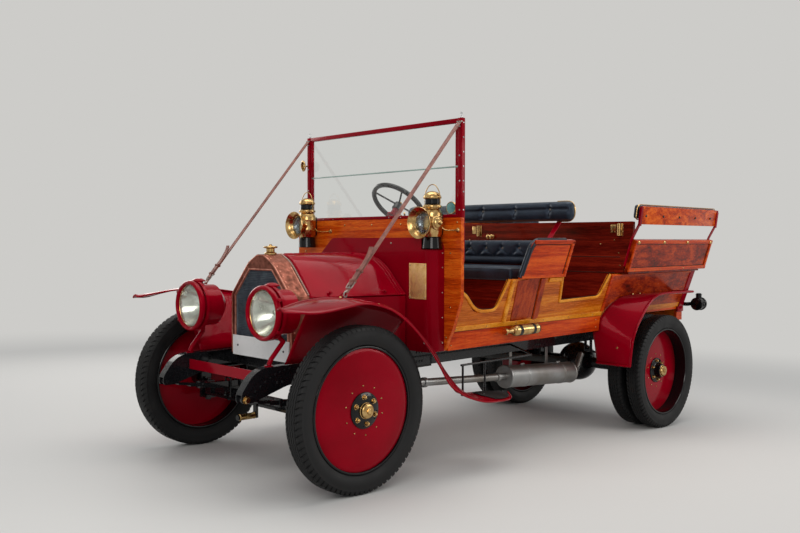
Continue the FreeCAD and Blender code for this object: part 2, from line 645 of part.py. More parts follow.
# ---------------------------------------------------------------- steering
def knuckle(side, sign):
    """Stub axle: yoke over the axle's boss, kingpin, spindle and steering arm."""
    low = "axle_top - axle_depth - yoke_gap - yoke_plate"
    high = "axle_top + yoke_gap"
    near = f"{sign}(kingpin_half - 24)"
    far = f"{sign}(kingpin_half + 46)"
    web = f"{sign}(kingpin_half + 28)"

    def across(first, second):
        return (first, second) if sign == "" else (second, first)

    pin = rod(f"{side}_kingpin", "kingpin_radius", f"{high} + yoke_plate + 14 - ({low} - 8)",
              ("0", f"{sign}kingpin_half", f"{low} - 8"))
    lower = box(f"{side}_lower_plate", ("-26", "26"), across(near, far), (low, f"{low} + yoke_plate"))
    upper = box(f"{side}_upper_plate", ("-26", "26"), across(near, far), (high, f"{high} + yoke_plate"))
    upright = box(f"{side}_upright", ("-32", "32"), across(web, far), (low, "tyre_radius + 34"))
    reach = "front_track_half + hub_reach - 14 - kingpin_half - 40"
    spindle = rod(f"{side}_spindle", "spindle_radius", reach,
                  ("0", f"{sign}(kingpin_half + 40)", "tyre_radius"), "y" if sign == "" else "-y")
    arm = box(f"{side}_arm", ("-steer_arm_length", "-20"), across(
        f"{sign}(kingpin_half - 12)", f"{sign}(kingpin_half + 12)"),
        (low, f"{low} + yoke_plate"))
    neck = box(f"{side}_arm_root", ("-44", "0"), across(
        f"{sign}(kingpin_half - 20)", f"{sign}(kingpin_half + 30)"),
        (low, f"{low} + yoke_plate"))
    eye = rod(f"{side}_arm_eye", "18", "yoke_plate",
              ("-steer_arm_length", f"{sign}kingpin_half", low))
    bore = rod(f"{side}_arm_bore", "8 + running_gap", "yoke_plate + 8",
               ("-steer_arm_length", f"{sign}kingpin_half", f"{low} - 4"))
    solid = joined(f"{side}_knuckle_joined", pin, lower, upper, upright, spindle, arm, neck, eye)
    node(cut(f"{side}_knuckle_bored", solid, bore), f"{side}_knuckle", tilt=False)


def tie_rod():
    """Track rod under the two steering arms, with a pin up through each."""
    low = "axle_top - axle_depth - yoke_gap - yoke_plate"
    height = f"{low} - tie_rod_radius - 6"
    half = "kingpin_half"
    tube = rod("track_tube", "tie_rod_radius", f"2 * {half}", ("-steer_arm_length", f"-{half}", height), "y")
    pieces = [tube]
    for side, sign in (("left", ""), ("right", "-")):
        pieces.append(rod(f"{side}_socket", "16", "2 * tie_rod_radius + 2",
                          ("-steer_arm_length", f"{sign}{half}", f"{height} - tie_rod_radius - 1")))
        pieces.append(rod(f"{side}_tie_pin", "8", "tie_rod_radius + 6 + yoke_plate + 6",
                          ("-steer_arm_length", f"{sign}{half}", height)))
    node(joined("track_rod_joined", *pieces), "tie_rod", tilt=False)


def column_line():
    """Steering wheel centre and the direction down the column."""
    angle = math.radians(d.column_angle)
    hub = Vector(d.wheel_hub_x, d.wheel_hub_y, d.wheel_hub_z)
    return hub, Vector(math.cos(angle), 0, -math.sin(angle))


def column_hole(grow):
    hub, down = column_line()
    return Part.makeCylinder(d.column_radius + grow, 1400, hub, down)


def steering():
    hub, down = column_line()
    box_height = d.rail_top - 40
    length = (hub.z - box_height) / -down.z
    foot = hub + down * length
    tube = Part.makeCylinder(d.column_radius, length - 38.3, hub + down * 38.3, down)
    steering_box = Part.makeBox(150, d.rail_inner + foot.y + 45, 130,
                                Vector(foot.x - 75, -d.rail_inner, foot.z - 96))
    quadrant = Part.makeCylinder(34, 10, hub + down * 95, down)
    node(feature("column_shape", tube.fuse([steering_box, quadrant]).removeSplitter()), "steering_column")

    ring = Part.makeTorus(d.steering_radius, d.steering_rim, hub, down)
    boss = Part.makeCylinder(30, 46, hub - down * 8, down)
    across = Vector(0, 1, 0)
    wheel = ring.fuse(boss)
    for quarter in range(4):
        spoke = Part.makeCylinder(6, d.steering_radius, hub, across)
        spoke.rotate(hub, down, 45 + 90 * quarter)
        wheel = wheel.fuse(spoke)
    node(feature("steering_wheel_shape", wheel.removeSplitter()), "steering_wheel")


def starting_handle():
    shaft = rod("handle_shaft", "13", "crank_arm_x + 12", ("0", "0", "crank_height"), "x")
    arm = box("handle_arm", ("crank_arm_x - 2", "crank_arm_x + 12"), ("-14", "14"),
              ("crank_height - crank_throw - 14", "crank_height + 16"))
    grip = rod("handle_grip", "15", "crank_grip + 10",
               ("crank_arm_x + 2", "0", "crank_height - crank_throw"), "x")
    node(joined("handle_joined", shaft, arm, grip), "starting_handle")


# ---------------------------------------------------------------- radiator and bonnet
def radiator_corners():
    """Gable outline of the radiator, (y, z, corner radius)."""
    half, crown = d.radiator_half, d.radiator_crown_half
    base, top = d.radiator_base, d.radiator_top
    right = [(half, d.radiator_shoulder, 20), (crown + 62, top - 42, 60), (crown - 20, top, 40)]
    left = [(-y, z, radius) for y, z, radius in reversed(right)]
    return [(-half, base, 0), (half, base, 0)] + right + left


def core_corners(grow):
    half = d.radiator_half - d.radiator_rim + grow
    low, knee = d.radiator_base + d.radiator_rim - grow, d.radiator_shoulder - 6
    right = [(half, low, 0), (half, knee, 0), (d.core_top_half, d.core_top + grow, 0)]
    return right + [(-y, z, radius) for y, z, radius in reversed(right)]


def radiator():
    depth = d.radiator_front - d.radiator_rear
    shell = prism(radiator_corners(), front_view(d.radiator_rear), Vector(depth, 0, 0))
    window = prism(core_corners(0), front_view(d.radiator_rear - 1), Vector(depth + 2, 0, 0))
    filler_hole = Part.makeCylinder(20, 30, Vector(0, 0, d.radiator_top - 30))
    node(feature("shell_shape", shell.cut(window).cut(filler_hole)), "radiator_shell")
    back = d.radiator_front - d.core_recess - d.core_depth
    node(feature("core_shape", prism(core_corners(-0.3), front_view(back), Vector(d.core_depth, 0, 0))),
         "radiator_core")
    cap = turned("cap_turned", [
        ("0", "-20"), ("19", "-20"), ("19", "0"), ("34", "0"), ("34", "8"), ("29", "12"), ("29", "24"),
        ("40", "27"), ("40", "36"), ("12", "44"), ("10", "54"), ("0", "54")], ("0", "0", "radiator_top"))
    node(cap, "filler_cap")
    node(box("number_plate_box", ("radiator_front + 0.3", "radiator_front + 3.3"), ("-260", "260"),
             ("593", "703")), "number_plate")


def bonnet_section(x, half, crown, top):
    """Closed section of a bonnet side at x: crown, shoulder, slope, and back along the inside."""
    sheet_in = d.bonnet_sheet
    shoulder = crown + (half - crown) * 0.38
    fall = (half - shoulder) / (top - 40 - d.bonnet_hem)
    outer = [(4, top), (crown, top), (shoulder - 6, top - 22), (shoulder + 22 * fall, top - 62),
             (half, d.bonnet_hem)]
    inner = [(4, top - sheet_in)] + [(y - sheet_in * 0.9, z - sheet_in) for y, z in outer[1:4]]
    inner.append((half - sheet_in * 0.9, d.bonnet_hem))
    return Part.makePolygon([Vector(x, y, z) for y, z in outer + inner[::-1] + outer[:1]])


def hinge_barrel(row, radius, grow):
    """One barrel of the bonnet's centre hinge, or with -1 the line of its pin, lengthened at both ends."""
    start = d.bonnet_front - 40 - row * 66
    length = 56 if row >= 0 else 66
    spot = Vector(start + grow, 0, d.hinge_height)
    return Part.makeCylinder(radius, length + 2 * grow, spot, Vector(-1, 0, 0))


def bonnet():
    top = d.radiator_top - 2
    sections = [
        bonnet_section(d.bonnet_front - 2, d.radiator_half - 1, d.radiator_crown_half, top),
        bonnet_section(d.bonnet_rear, d.bonnet_rear_half, d.bonnet_rear_crown, top),
    ]
    lid = Part.makeLoft(sections, True, True)
    for label, first, other in (("bonnet_left", 0, 1), ("bonnet_right", 1, 0)):
        leaf = lid
        for row in range(first, 8, 2):
            leaf = leaf.fuse(hinge_barrel(row, d.hinge_radius * 2, 0))
        for row in range(other, 8, 2):
            leaf = leaf.cut(hinge_barrel(row, d.hinge_radius * 2 + 1.5, 1))
        leaf = leaf.cut(hinge_barrel(-1, d.hinge_radius + d.running_gap, 900))
        node(feature(label + "_shape", leaf if first == 0 else mirrored(leaf)), label)

    corners = [(d.bonnet_front - 2, d.radiator_half - 1 - 5), (d.bonnet_rear, d.bonnet_rear_half - 5)]
    outline = [(x, y, 0) for x, y in corners] + [(x, y - d.bonnet_sheet, 0) for x, y in reversed(corners)]
    base = d.rail_top + 0.3
    side = prism(outline, top_view(base), Vector(0, 0, d.bonnet_hem - d.bonnet_gap - base))
    node(feature("bonnet_side_shapes", *pair(side)), "bonnet_sides")


# ---------------------------------------------------------------- scuttle, dashboard and windscreen
def plan_block(inset):
    """Block over the dash casing's plan, whose front corners are rounded."""
    half, front, back = d.scuttle_half - inset, d.scuttle_front - inset, d.dash_front - 2
    radius = d.scuttle_corner - inset
    outline = [(back, -half, 0), (front, -half, radius), (front, half, radius), (back, half, 0)]
    return prism(outline, top_view(d.scuttle_base), Vector(0, 0, d.scuttle_top - d.scuttle_base))


def scuttle():
    """Sheet casing on the dashboard: driver's corner sloped, a notch round the left lamp's font."""
    corners = [
        (-d.scuttle_half, d.scuttle_base, 12), (d.scuttle_half, d.scuttle_base, 12),
        (d.scuttle_half, d.scuttle_top, 70), (-255, d.scuttle_top, 60), (-400, 1120, 60),
        (-d.scuttle_half, 1080, 60),
    ]
    depth = d.scuttle_front - d.dash_front
    casing = prism(corners, front_view(d.dash_front), Vector(depth, 0, 0)).common(plan_block(0))
    inside = [
        (-d.scuttle_half + d.scuttle_sheet, d.scuttle_base + d.scuttle_sheet, 8),
        (d.scuttle_half - d.scuttle_sheet, d.scuttle_base + d.scuttle_sheet, 8),
        (d.scuttle_half - d.scuttle_sheet, d.scuttle_top - d.scuttle_sheet, 66),
        (-253, d.scuttle_top - d.scuttle_sheet, 56), (-398, 1116, 60),
        (-d.scuttle_half + d.scuttle_sheet, 1076, 56),
    ]
    hollow = prism(inside, front_view(d.dash_front - 1), Vector(depth + 1 - d.scuttle_sheet, 0, 0))
    hollow = hollow.common(plan_block(d.scuttle_sheet))
    pin = Part.makeCylinder(d.hinge_radius, d.radiator_rear - d.scuttle_front + 1,
                            Vector(d.scuttle_front - 1, 0, d.hinge_height), Vector(1, 0, 0))
    foot = Vector(d.side_lamp_x - d.lamp_body_reach, d.side_lamp_y, d.side_lamp_z - d.font_drop - 4)
    font = Part.makeCylinder(d.font_radius + 4, 150, foot)
    shell = casing.cut(hollow).cut(column_hole(5)).cut(font)
    node(feature("scuttle_shape", shell.fuse(pin)), "scuttle")


def dash_board():
    back = d.dash_front - d.dash_thickness
    half = d.dash_half
    corners = [
        (-d.side_base_y + 10, d.dash_base, 30), (d.side_base_y - 10, d.dash_base, 30),
        (half - 60, d.dash_base + 130, 160), (half, d.dash_turn_in, 120), (half, d.dash_top, 6),
        (-half, d.dash_top, 6), (-half, d.dash_turn_in, 120), (-half + 60, d.dash_base + 130, 160),
    ]
    board = prism(corners, front_view(back), Vector(d.dash_thickness, 0, 0))
    node(feature("dash_shape", board.cut(column_hole(5))), "dash_board")


def windscreen():
    """Frame of square tube: two posts, bottom, middle and top bars, and finials."""
    thick = "screen_bar / 2"
    bars = []
    for side, sign in (("left", ""), ("right", "-")):
        middle = f"{sign}screen_half"
        bars.append(box(f"{side}_post", (f"screen_plane - {thick}", f"screen_plane + {thick}"),
                        (f"{middle} - {thick}", f"{middle} + {thick}"), ("post_foot", "screen_top")))
        bars.append(rod(f"{side}_finial", "6", "34", ("screen_plane", middle, "screen_top")))
        bars.append(box(f"{side}_post_cleat", (f"screen_plane + {thick}", "dash_front - dash_thickness"),
                        (f"{middle} - {thick}", f"{middle} + {thick}"),
                        ("post_foot + 40", "post_foot + 90")))
    for bar_name, height, half_height in (("base", "screen_base", "8"), ("split", "screen_split", "4"),
                                          ("top", "screen_top - 10", "8")):
        edges = (f"{height} - {half_height}", f"{height} + {half_height}")
        bars.append(box(f"screen_{bar_name}_bar", ("screen_plane - 8", "screen_plane + 8"),
                        ("-screen_half", "screen_half"), edges))
    node(joined("windscreen_joined", *bars), "windscreen_frame")
    inner = "screen_half - screen_bar / 2 - 0.3"
    panes = []
    faces = ("screen_plane - glass_thickness / 2", "screen_plane + glass_thickness / 2")
    for pane_name, low, high in (("lower", "screen_base + 8.3", "screen_split - 4.3"),
                                 ("upper", "screen_split + 4.3", "screen_top - 18.3")):
        panes.append(box(f"{pane_name}_pane", faces, (f"-({inner})", inner), (low, high)))
    node(group("panes", *panes), "windscreen_glass")


def screen_straps():
    """Leather stays from the posts' tops to the front mudguards."""
    top = Vector(d.screen_plane + d.screen_bar / 2 + 0.3, d.screen_half, d.screen_top - 24)
    foot = Vector(d.strap_foot_x, d.strap_foot_y, d.strap_foot_z)
    run = foot - top
    across = Vector(0, 1, 0)
    side = across - run * (across * run) / (run * run)
    side = side.normalize() * d.strap_width / 2
    normal = run.cross(side).normalize() * d.strap_thickness
    start = top
    corners = [start - side, start + side, start + side + normal, start - side + normal]
    wire = Part.makePolygon(corners + corners[:1])
    node(feature("strap_shapes", *pair(Part.Face(wire).extrude(run * 0.99))), "screen_straps")


# ---------------------------------------------------------------- lamps
def lamps():
    radius = "headlamp_radius"
    drum = [
        ("0", "-headlamp_depth"), (f"{radius} * 0.45", "-headlamp_depth"),
        (f"{radius} * 0.82", "-headlamp_depth * 0.72"), (f"{radius} * 0.86", "-22"), (radius, "-16"),
        (radius, "0"), (f"{radius} - 12", "0"), (f"{radius} - 12", "-10"),
        (f"{radius} * 0.86 - headlamp_wall", "-26"),
        (f"{radius} * 0.82 - headlamp_wall", "-headlamp_depth * 0.72 + 4"),
        ("0", "-headlamp_depth + headlamp_wall"),
    ]
    oil = [
        ("0", "-80"), ("46", "-80"), ("50", "-24"), ("side_lamp_radius - 6", "-6"),
        ("side_lamp_radius", "-6"), ("side_lamp_radius", "2"), ("side_lamp_radius - 8", "2"),
        ("44", "-24"), ("44", "-40"), ("0", "-40"),
    ]
    low = d.headlamp_z - d.headlamp_radius * 0.82
    foot = Vector(280, d.rail_inner + d.rail_width / 2, d.rail_top)
    points = [foot, foot + Vector(-14, 0, 34), Vector(195, d.headlamp_y + 30, low - 34),
              Vector(212, d.headlamp_y, low + 4)]
    points[0] = foot + Vector(0, 0, 6)
    bracket = bar(points, 12).fuse(Part.makeCylinder(22, 6, foot))
    drums, oils = [], []
    for side, sign, shape in (("left", "", bracket), ("right", "-", mirrored(bracket))):
        at = ("headlamp_x", f"{sign}headlamp_y", "headlamp_z")
        shell = turned(f"{side}_headlamp_drum", drum, at, "x")
        drums.append(joined(f"{side}_headlamp", shell, feature(f"{side}_lamp_bracket", shape)))
        middle = f"{sign}side_lamp_y"
        centre = ("side_lamp_x", middle, "side_lamp_z")
        body = turned(f"{side}_oil_bezel", oil, centre, "x")
        body_x = "side_lamp_x - lamp_body_reach"
        tank = rod(f"{side}_lamp_body", "55", "170", (body_x, middle, "side_lamp_z - 85"))
        chimney = rod(f"{side}_chimney", "48", "130", (body_x, middle, "side_lamp_z + 84"))
        font = rod(f"{side}_font", "font_radius", "60", (body_x, middle, "side_lamp_z - font_drop"))
        arm = box(f"{side}_lamp_arm", ("dash_front", body_x),
                  (f"{middle} - 8", f"{middle} + 8"), ("side_lamp_z - 50", "side_lamp_z - 34"))
        oils.append(joined(f"{side}_oil_lamp", body, tank, chimney, font, arm))
    node(group("drums", *drums), "headlamps")
    node(group("oils", *oils), "side_lamps")


# ---------------------------------------------------------------- wooden body
def flared(base_y, base_z, lean, rise):
    """Plane of a board that leans outward: point at (x, up the slope), its slant height, inward step."""
    slant = math.hypot(lean, rise)
    up = Vector(0, lean / slant, rise / slant)
    inward = Vector(0, -rise / slant, lean / slant)
    return (lambda x, climb: Vector(x, base_y, base_z) + up * climb), slant, inward


def side_inner(height):
    """Inside face of the lower body side at a height."""
    rise = d.side_top - d.sill_top
    slant = math.hypot(d.side_flare, rise) / rise
    return d.side_base_y + d.side_flare * (height - d.sill_top) / rise - d.board * slant


def body_sides():
    rise = d.side_top - d.sill_top
    at, slant, inward = flared(d.side_base_y, d.sill_top, d.side_flare, rise)
    up = slant / rise
    back = d.dash_front - d.dash_thickness - 0.3
    front_low, front_well, rear_well = 225 * up, 98 * up, 118 * up
    corners = [
        (back, -10, 0), (back, front_low, 12), (back - 60, front_low - 24, 60),
        (back - 190, front_well, 110), (-1150, front_well, 40), (d.seat_front + 78, slant + 10, 0),
        (-1728, slant + 10, 0), (-1776, rear_well, 14), (-2238, rear_well + 10, 50), (-2300, slant + 10, 0),
        (d.body_rear, slant + 10, 0), (d.body_rear, -10, 0),
    ]
    side = prism(corners, at, inward * d.board)
    band = Part.makeBox(4000, 400, rise, Vector(-3900, d.side_base_y - 200, d.sill_top))
    node(feature("side_shapes", *pair(side.common(band))), "body_sides")

    arch = d.sill_top - 15
    corners = [
        (back, d.sill_base, 0), (back, d.sill_top, 0), (d.body_rear, d.sill_top, 0),
        (d.body_rear, d.sill_base, 0), (d.arch_rear, d.sill_base, 8), (d.arch_rear, arch, 8),
        (d.arch_front, arch, 8), (d.arch_front, d.sill_base, 8),
    ]
    sill = prism(corners, side_view(d.side_base_y), Vector(0, -d.board, 0))
    node(feature("sill_shapes", *pair(sill)), "sill_boards")


def floor():
    back = "dash_front - dash_thickness - 0.3"
    inside = "(side_base_y - board * 1.06 - 0.3)"
    low = "floor_top - floor_board"
    boards = box("floor_boards", ("body_rear + 30", back), (f"-{inside}", inside), (low, "floor_top"))
    bearers = [
        box(f"bearer_{index}", (f"{x} - 32", f"{x} + 32"), (f"-{inside} + {short}", f"{inside} - {short}"),
            ("rail_top", low))
        for index, (x, short) in enumerate(((-850, 0), (-1450, 0), (-2150, 0), (-2960, 90), (-3460, 0)))
    ]
    node(joined("floor_joined", boards, *bearers), "floor")


def wedge(low, high, low_half, high_half, back, front):
    """Cross board between two heights whose ends follow the leaning sides."""
    corners = [(-low_half, low, 0), (low_half, low, 0), (high_half, high, 0), (-high_half, high, 0)]
    return prism(corners, front_view(back), Vector(front - back, 0, 0))


def seat_boxes():
    """Driver's bench carcass with its back board, and the two long rear benches."""
    gap = 1
    low, high = d.floor_top, d.seat_top
    outer = wedge(low, high, side_inner(low) - gap, side_inner(high) - gap, d.seat_rear + 20, d.seat_front)
    inner = wedge(low - 1, high - d.board, side_inner(low) - 25, side_inner(high) - 25,
                  d.seat_rear + 40, d.seat_front - d.board)
    foot_half = d.side_base_y + d.side_flare - 12
    back = prism([
        (-side_inner(low) + gap, low, 0), (side_inner(low) - gap, low, 0),
        (side_inner(d.side_top) - gap, d.side_top + 2, 0), (foot_half - 6, d.side_top + 4, 0),
        (foot_half + 24, d.arm_top - 10, 20), (-foot_half - 24, d.arm_top - 10, 20),
        (-foot_half + 6, d.side_top + 4, 0), (-side_inner(d.side_top) + gap, d.side_top + 2, 0),
    ], front_view(d.seat_rear), Vector(20, 0, 0))
    bench = outer.cut(inner).fuse(back).removeSplitter()

    front = d.partition_x - 22.3
    rear = d.body_rear + 42
    ledge = Part.makeBox(front - rear, d.flare_base_y - d.rear_bench_inner, d.flare_base - d.side_top,
                         Vector(rear, d.rear_bench_inner, d.side_top))
    riser = Part.makeBox(front - rear, d.board, d.side_top - low, Vector(rear, d.rear_bench_inner, low))
    node(feature("bench_shapes", bench, *pair(ledge.fuse(riser).removeSplitter())), "seat_boxes")


def arm_panels():
    foot_y = d.side_base_y + d.side_flare + 14
    at, slant, inward = flared(foot_y, d.side_top, d.arm_lean_y, d.arm_top - d.side_top)
    corners = [
        (d.seat_front, -10, 0), (d.seat_front - d.arm_lean_x - 20, slant, 70),
        (d.seat_rear - d.arm_lean_x, slant, 10), (d.seat_rear - 2, -10, 0),
    ]
    panel = prism(corners, at, inward * d.board)
    under = Part.makeBox(800, 200, 40, Vector(-2000, foot_y - 100, d.side_top - 40))
    back = Part.makeBox(21, 2 * foot_y, 400, Vector(d.seat_rear - 0.3, -foot_y + 2, d.side_top - 1))
    node(feature("arm_shapes", *pair(panel.cut(under).cut(back))), "arm_panels")


def leather():
    """Plain solids of the cushions and of the padded backs."""
    half = d.seat_half - 40
    cushions = [box("driver_cushion", ("seat_rear + 102", "seat_front + 22"), (f"-{half}", f"{half}"),
                    ("seat_top + 0.3", "seat_top + cushion_height"))]
    for side, low, high in (("left", "rear_bench_inner + 10", "flare_base_y - 56"),
                            ("right", "-flare_base_y + 56", "-rear_bench_inner - 10")):
        cushions.append(box(f"{side}_bench_cushion", ("body_rear + 62", "partition_x - 40"), (low, high),
                            ("flare_base + 0.3", "flare_base + 56")))
    node(group("cushion_group", *cushions), "seat_cushions")

    squab = box("driver_squab", ("seat_rear + 20.3", "seat_rear + 20 + squab_depth"),
                (f"-{half}", f"{half}"), ("seat_top + cushion_height + 2", "arm_top"))
    front, back = d.bolster_x + d.bolster_depth / 2, d.bolster_x - d.bolster_depth / 2
    corners = [(back, d.bolster_base, 30), (front, d.bolster_base, 30), (front, d.bolster_top, 42),
               (back, d.bolster_top, 42)]
    roll = feature("back_roll", prism(corners, side_view(-d.bolster_half), Vector(0, 2 * d.bolster_half, 0)))
    at, slant, inward = flared(d.seat_rail_y, d.seat_rail_base, d.seat_rail_lean,
                               d.seat_rail_top - d.seat_rail_base)
    ends = (d.seat_rail_front, d.seat_rail_rear)
    pad_face = [(ends[0], 30, 20), (ends[0], slant + 5, 30), (ends[1], slant + 5, 30), (ends[1], 30, 20)]
    step = d.board + 0.3
    pad = prism(pad_face, lambda x, climb: at(x, climb) + inward * step, inward * 42)
    pads = [feature(f"rail_pad_{index}", solid) for index, solid in enumerate(pair(pad))]
    node(group("back_group", squab, roll, *pads), "seat_backs")


HINGE_HEIGHTS = (d.side_top - 173, d.side_top + 117)


def door_pin(height):
    """Point on the rear door's hinge line, in the gap beside the door and just behind it."""
    return Vector(d.body_rear + 10.5, d.rear_bench_inner - 4, height)


def rear_boards():
    """Cross board, rear end panels, flared side panels and the rails above them."""
    thick = 22
    low, ledge = d.floor_top, d.side_top + 3
    lean = (d.flare_top_y - d.flare_base_y) / (d.flare_top - d.flare_base)
    inside = d.flare_base_y - d.board * 1.05 - d.iron_thickness - 1
    cross = [
        (-side_inner(low) + 1, low, 0), (side_inner(low) - 1, low, 0),
        (side_inner(d.side_top) - 1, ledge, 0),
        (inside, d.flare_base, 0), (inside + lean * (d.flare_top - d.flare_base), d.flare_top, 0),
        (d.partition_half_top, d.flare_top + 70, 6), (d.partition_half_top, d.partition_top, 10),
        (-d.partition_half_top, d.partition_top, 10), (-d.partition_half_top, d.flare_top + 70, 6),
        (-inside - lean * (d.flare_top - d.flare_base), d.flare_top, 0), (-inside, d.flare_base, 0),
        (-side_inner(d.side_top) + 1, ledge, 0),
    ]
    board = prism(cross, front_view(d.partition_x - thick), Vector(thick, 0, 0))
    end = [
        (d.rear_bench_inner, low, 0), (side_inner(low) - 1, low, 0), (side_inner(d.side_top) - 1, ledge, 0),
        (inside, d.flare_base, 0), (inside + lean * 200, d.flare_base + 200, 10),
        (d.rear_bench_inner, d.flare_base + 200, 10),
    ]
    left_end = prism(end, front_view(d.body_rear + 18), Vector(d.board, 0, 0))
    right_end = mirrored(left_end)
    for middle in HINGE_HEIGHTS:
        left_end = left_end.fuse(Part.makeCylinder(4, 68, door_pin(middle - 34)))
        for low in (middle - 34, middle + 16):
            left_end = left_end.fuse(Part.makeBox(15, 38, 18, door_pin(low) + Vector(-6, -4, 0)))
    node(feature("cross_shapes", board, left_end.removeSplitter(), right_end), "cross_boards")

    at, slant, inward = flared(d.flare_base_y, d.flare_base, d.flare_top_y - d.flare_base_y,
                               d.flare_top - d.flare_base)
    corners = [(d.partition_x, -10, 0), (d.partition_x, slant, 8), (d.flare_rear, slant, 8),
               (d.flare_rear, -10, 0)]
    panel = prism(corners, at, inward * d.board)
    under = Part.makeBox(1400, 200, 40, Vector(-3700, d.flare_base_y - 100, d.flare_base - 40))
    node(feature("flare_shapes", *pair(panel.cut(under))), "rear_panels")

    at, slant, inward = flared(d.seat_rail_y, d.seat_rail_base, d.seat_rail_lean,
                               d.seat_rail_top - d.seat_rail_base)
    front, rear = d.seat_rail_front - d.iron_width - 0.3, d.seat_rail_rear + d.iron_width + 0.3
    corners = [(front, 0, 0), (front, slant, 0), (rear, slant, 0), (rear, 0, 0)]
    node(feature("rail_shapes", *pair(prism(corners, at, inward * d.board))), "rear_rails")

    half = d.rear_bench_inner - 8
    door = Part.makeBox(d.board, 2 * half, d.flare_base + 190 - d.floor_top - 8,
                        Vector(d.body_rear + 18, -half, d.floor_top + 8))
    for middle in HINGE_HEIGHTS:
        spot = door_pin(middle - 15.5)
        strap = Part.makeBox(6, 60, 31, spot + Vector(3.5, -60, 0))
        door = door.fuse([Part.makeCylinder(7.5, 31, spot), strap])
        door = door.cut(Part.makeCylinder(4 + d.running_gap, 60, door_pin(middle - 30)))
    node(feature("door_shape", door.removeSplitter()), "rear_door")


def rail_lean():
    """Outward lean of the upper rails for each unit of height."""
    return d.seat_rail_lean / (d.seat_rail_top - d.seat_rail_base)


def seat_irons():
    """Flat irons that carry the back roll and the rear rails."""
    solids = []
    back = d.bolster_x - d.bolster_depth / 2 - 0.3
    path = [(d.seat_rear - 0.3, 1060), (d.seat_rear - 0.3, d.arm_top + 6), (back, d.bolster_base + 8),
            (back, d.bolster_top - 16)]
    iron = prism(strip(path, 7, 24), side_view(575), Vector(0, 34, 0))
    solids += pair(iron)
    lean = (d.flare_top_y - d.flare_base_y) / (d.flare_top - d.flare_base)
    panel = d.flare_base_y - d.board * math.hypot(1, lean) - 0.3
    low, high = 40, d.seat_rail_top - d.seat_rail_base - 2
    path = [
        (panel + lean * low, d.flare_base + low),
        (panel + lean * (d.flare_top - d.flare_base + 14), d.flare_top + 14),
        (d.seat_rail_y, d.seat_rail_base), (d.seat_rail_y + rail_lean() * high, d.seat_rail_base + high),
    ]
    for x in (d.seat_rail_front - d.iron_width, d.seat_rail_rear):
        solids += pair(prism(strip(path, d.iron_thickness, 40), front_view(x), Vector(d.iron_width, 0, 0)))
    node(feature("iron_shapes", *solids), "seat_irons")


# ---------------------------------------------------------------- mudguards and fittings
def strip(path, thickness, radius=None):
    """Closed outline of a bent sheet: the path, and back along it offset by the thickness."""
    points = [Vector(u, v, 0) for u, v in path]
    runs = [(b - a) for a, b in zip(points, points[1:])]
    offset = []
    for index, point in enumerate(points):
        near = [run.normalize() if run.Length else run for run in
                [Vector(r) for r in (runs[max(index - 1, 0)], runs[min(index, len(runs) - 1)])]]
        normal = Vector(-near[0].y - near[1].y, near[0].x + near[1].x, 0).normalize()
        stretch = normal * Vector(-near[0].y, near[0].x, 0)
        offset.append(point + normal * (thickness / stretch))
    radii = [0] * len(points)
    turns = [0] * len(points)
    for index in range(1, len(points) - 1):
        angle = runs[index - 1].getAngle(runs[index])
        shorter = min(runs[index - 1].Length, runs[index].Length)
        fair = 0.46 * shorter / math.tan(angle / 2)
        radii[index] = fair if radius is None else min(fair, radius)
        turns[index] = 1 if runs[index - 1].cross(runs[index]).z > 0 else -1
    ahead = [(p.x, p.y, r) for p, r in zip(points, radii)]
    back = [(p.x, p.y, max(r - turn * thickness, 0)) for p, r, turn in zip(offset, radii, turns)]
    return ahead + back[::-1]


FRONT_GUARD = [
    # underside: inner edge x, z; outer edge x, z
    (444, 918, 444, 893), (330, 936, 330, 888), (200, 948, 190, 915), (58, 952, 58, 934),
    (-72, 935, -72, 909), (-200, 912, -173, 862), (-300, 885, -278, 784), (-437, 819, -388, 674),
    (-550, 726, -463, 576), (-663, 617, -540, 468), (-735, 515, -619, 418), (-805, 420, -700, 382),
    (-889, 360, -868, 344), (-1158, 342, -1158, 336),
]
REAR_GUARD = [
    # underside: inner edge x, z; outer edge x, z
    (-2360, 387, -2359, 387), (-2330, 510, -2372, 470), (-2304, 619, -2395, 560),
    (-2318, 720, -2435, 630), (-2352, 802, -2485, 689), (-2415, 840, -2591, 787),
    (-2519, 850, -2686, 838), (-2694, 848, -2828, 860), (-3252, 852, -3252, 856),
]
HANGER_X = (-889, -1084)


def guard_blade(stations, inner_y, outer_y):
    """Sheet ruled from the inner edge to the outer one, lying on the two given lines."""
    sections = []
    for y, path in ((inner_y, [row[:2] for row in stations]), (outer_y, [row[2:] for row in stations])):
        spots = [Vector(x, y, z) for x, z, _ in strip(path, -d.guard_sheet, 0)]
        sections.append(Part.makePolygon(spots + spots[:1]))
    return Part.makeLoft(sections, True, True)


